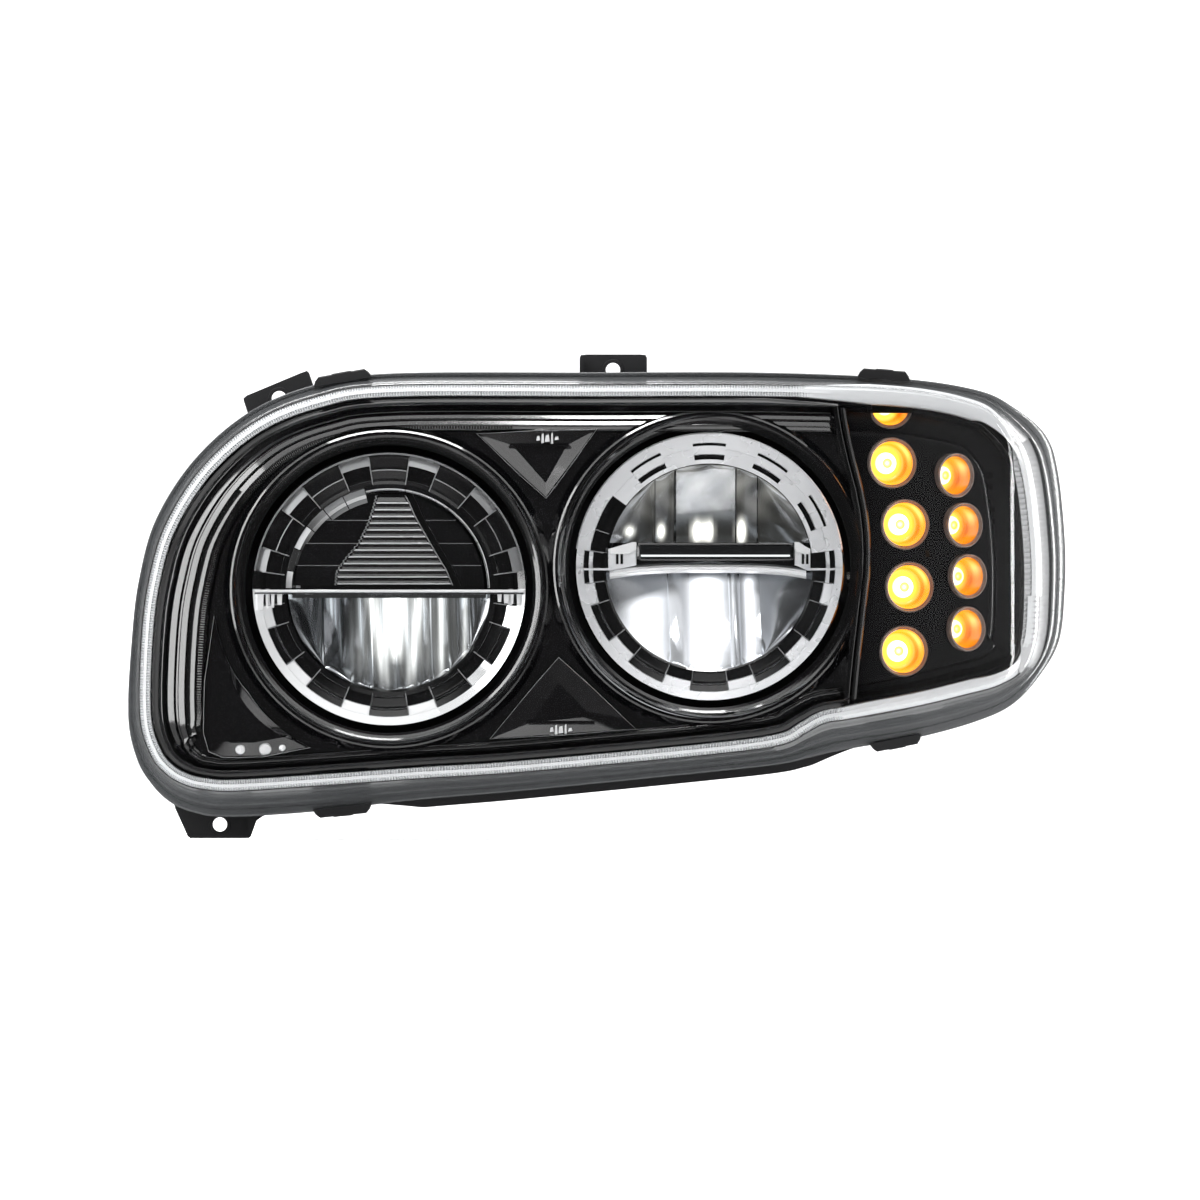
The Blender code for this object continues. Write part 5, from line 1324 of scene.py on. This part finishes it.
# ---- Studio ----
SKY = (                     # soft panels by direction: axis, from, to, light
    ("Z", 0.30, 0.52, 0.9), ("Z", 0.84, 0.92, 2.6), ("X", -0.30, -0.75, 0.34),
    ("X", -0.90, -0.97, 0.9), ("X", 0.62, 0.92, 0.6), ("Y", 0.05, 0.50, 0.5),
    ("Z", -0.22, -0.60, 0.6),
)
SKY_REST = 0.035
SOFTBOXES = (               # name, place, target, width, height, watts
    ("top_softbox", (-0.4, -0.75, 1.5), (0, 0, 0), 1.9, 0.55, 34),
    ("left_softbox", (-1.5, -1.3, 0.45), (0, 0, 0), 1.1, 1.5, 15),
    ("right_softbox", (1.8, 0.30, 0.1), (0.2, 0, 0), 0.09, 1, 8),
    ("rear_side_softbox", (1.2, 1.5, 0.2), (0.2, 0, 0), 0.7, 1.2, 12),
    ("rear_softbox", (0.4, 1.9, 1.5), (0, 0, 0), 1.8, 0.9, 30),
)
FLOOR_Z = -0.1712
CAMERA_DISTANCE = 24
VIEW_WIDTH = 0.8453         # what the camera takes in at the lamp


def build_sky(scene):
    world = scene.world = bpy.data.worlds.new("studio")
    world.use_nodes = True
    nodes, links = world.node_tree.nodes, world.node_tree.links
    where, axes = nodes.new("ShaderNodeTexCoord"), nodes.new("ShaderNodeSeparateXYZ")
    links.new(where.outputs["Generated"], axes.inputs["Vector"])
    total = None
    for axis, start, stop, light in SKY:
        panel = nodes.new("ShaderNodeMapRange")
        panel.interpolation_type = "SMOOTHSTEP"
        for socket, value in (("From Min", start), ("From Max", stop), ("To Max", light)):
            panel.inputs[socket].default_value = value
        links.new(axes.outputs[axis], panel.inputs["Value"])
        both = nodes.new("ShaderNodeMath")
        both.inputs[1].default_value = SKY_REST
        links.new(panel.outputs["Result"], both.inputs[0])
        if total:
            links.new(total, both.inputs[1])
        total = both.outputs["Value"]
    sky = nodes["Background"]
    sky.inputs["Color"].default_value = (1, 1, 1, 1)
    links.new(total, sky.inputs["Strength"])


def staged(name, material_name, colour, strength):
    """Names the object just added and makes it glow."""
    made = bpy.context.object
    made.name = name
    material = bpy.data.materials.new(material_name)
    material.use_nodes = True
    for socket, value in (("Base Color", (*colour, 1)), ("Emission Color", (*colour, 1)),
                          ("Emission Strength", strength), ("Roughness", 1)):
        material.node_tree.nodes["Principled BSDF"].inputs[socket].default_value = value
    made.data.materials.append(material)
    return made


def studio():
    scene = bpy.context.scene
    scene.view_settings.view_transform = "Standard"
    build_sky(scene)

    # White surroundings that only the camera sees, and a pale floor
    bpy.ops.mesh.primitive_uv_sphere_add(segments=32, ring_count=16, radius=60)
    dome = staged("white_surroundings", "surroundings", (1, 1, 1), 1)
    for flag in ("diffuse", "glossy", "shadow", "transmission", "volume_scatter"):
        setattr(dome, "visible_" + flag, False)
    bpy.ops.mesh.primitive_plane_add(size=5, location=(0, 0, FLOOR_Z))
    floor = staged("floor", "pale_floor", (0.93, 0.93, 0.93), 0.72)
    floor.visible_glossy = False

    for name, place, target, wide, tall, watts in SOFTBOXES:
        light = bpy.data.lights.new(name, "AREA")
        light.shape = "RECTANGLE"
        light.size, light.size_y, light.energy = wide, tall, watts
        made = bpy.data.objects.new(name, light)
        scene.collection.objects.link(made)
        made.location = place
        made.rotation_euler = (Vector(target) - Vector(place)).to_track_quat("-Z", "Y").to_euler()
        made.visible_camera = False

    lens = bpy.data.cameras.new("camera")
    camera = scene.camera = bpy.data.objects.new("camera", lens)
    scene.collection.objects.link(camera)
    camera.location = (0.00176, -CAMERA_DISTANCE, -0.00264)
    camera.rotation_euler = (math.radians(90), 0, 0)
    lens.sensor_width = 36
    lens.lens = lens.sensor_width * CAMERA_DISTANCE / VIEW_WIDTH
    lens.clip_end = 200


studio()
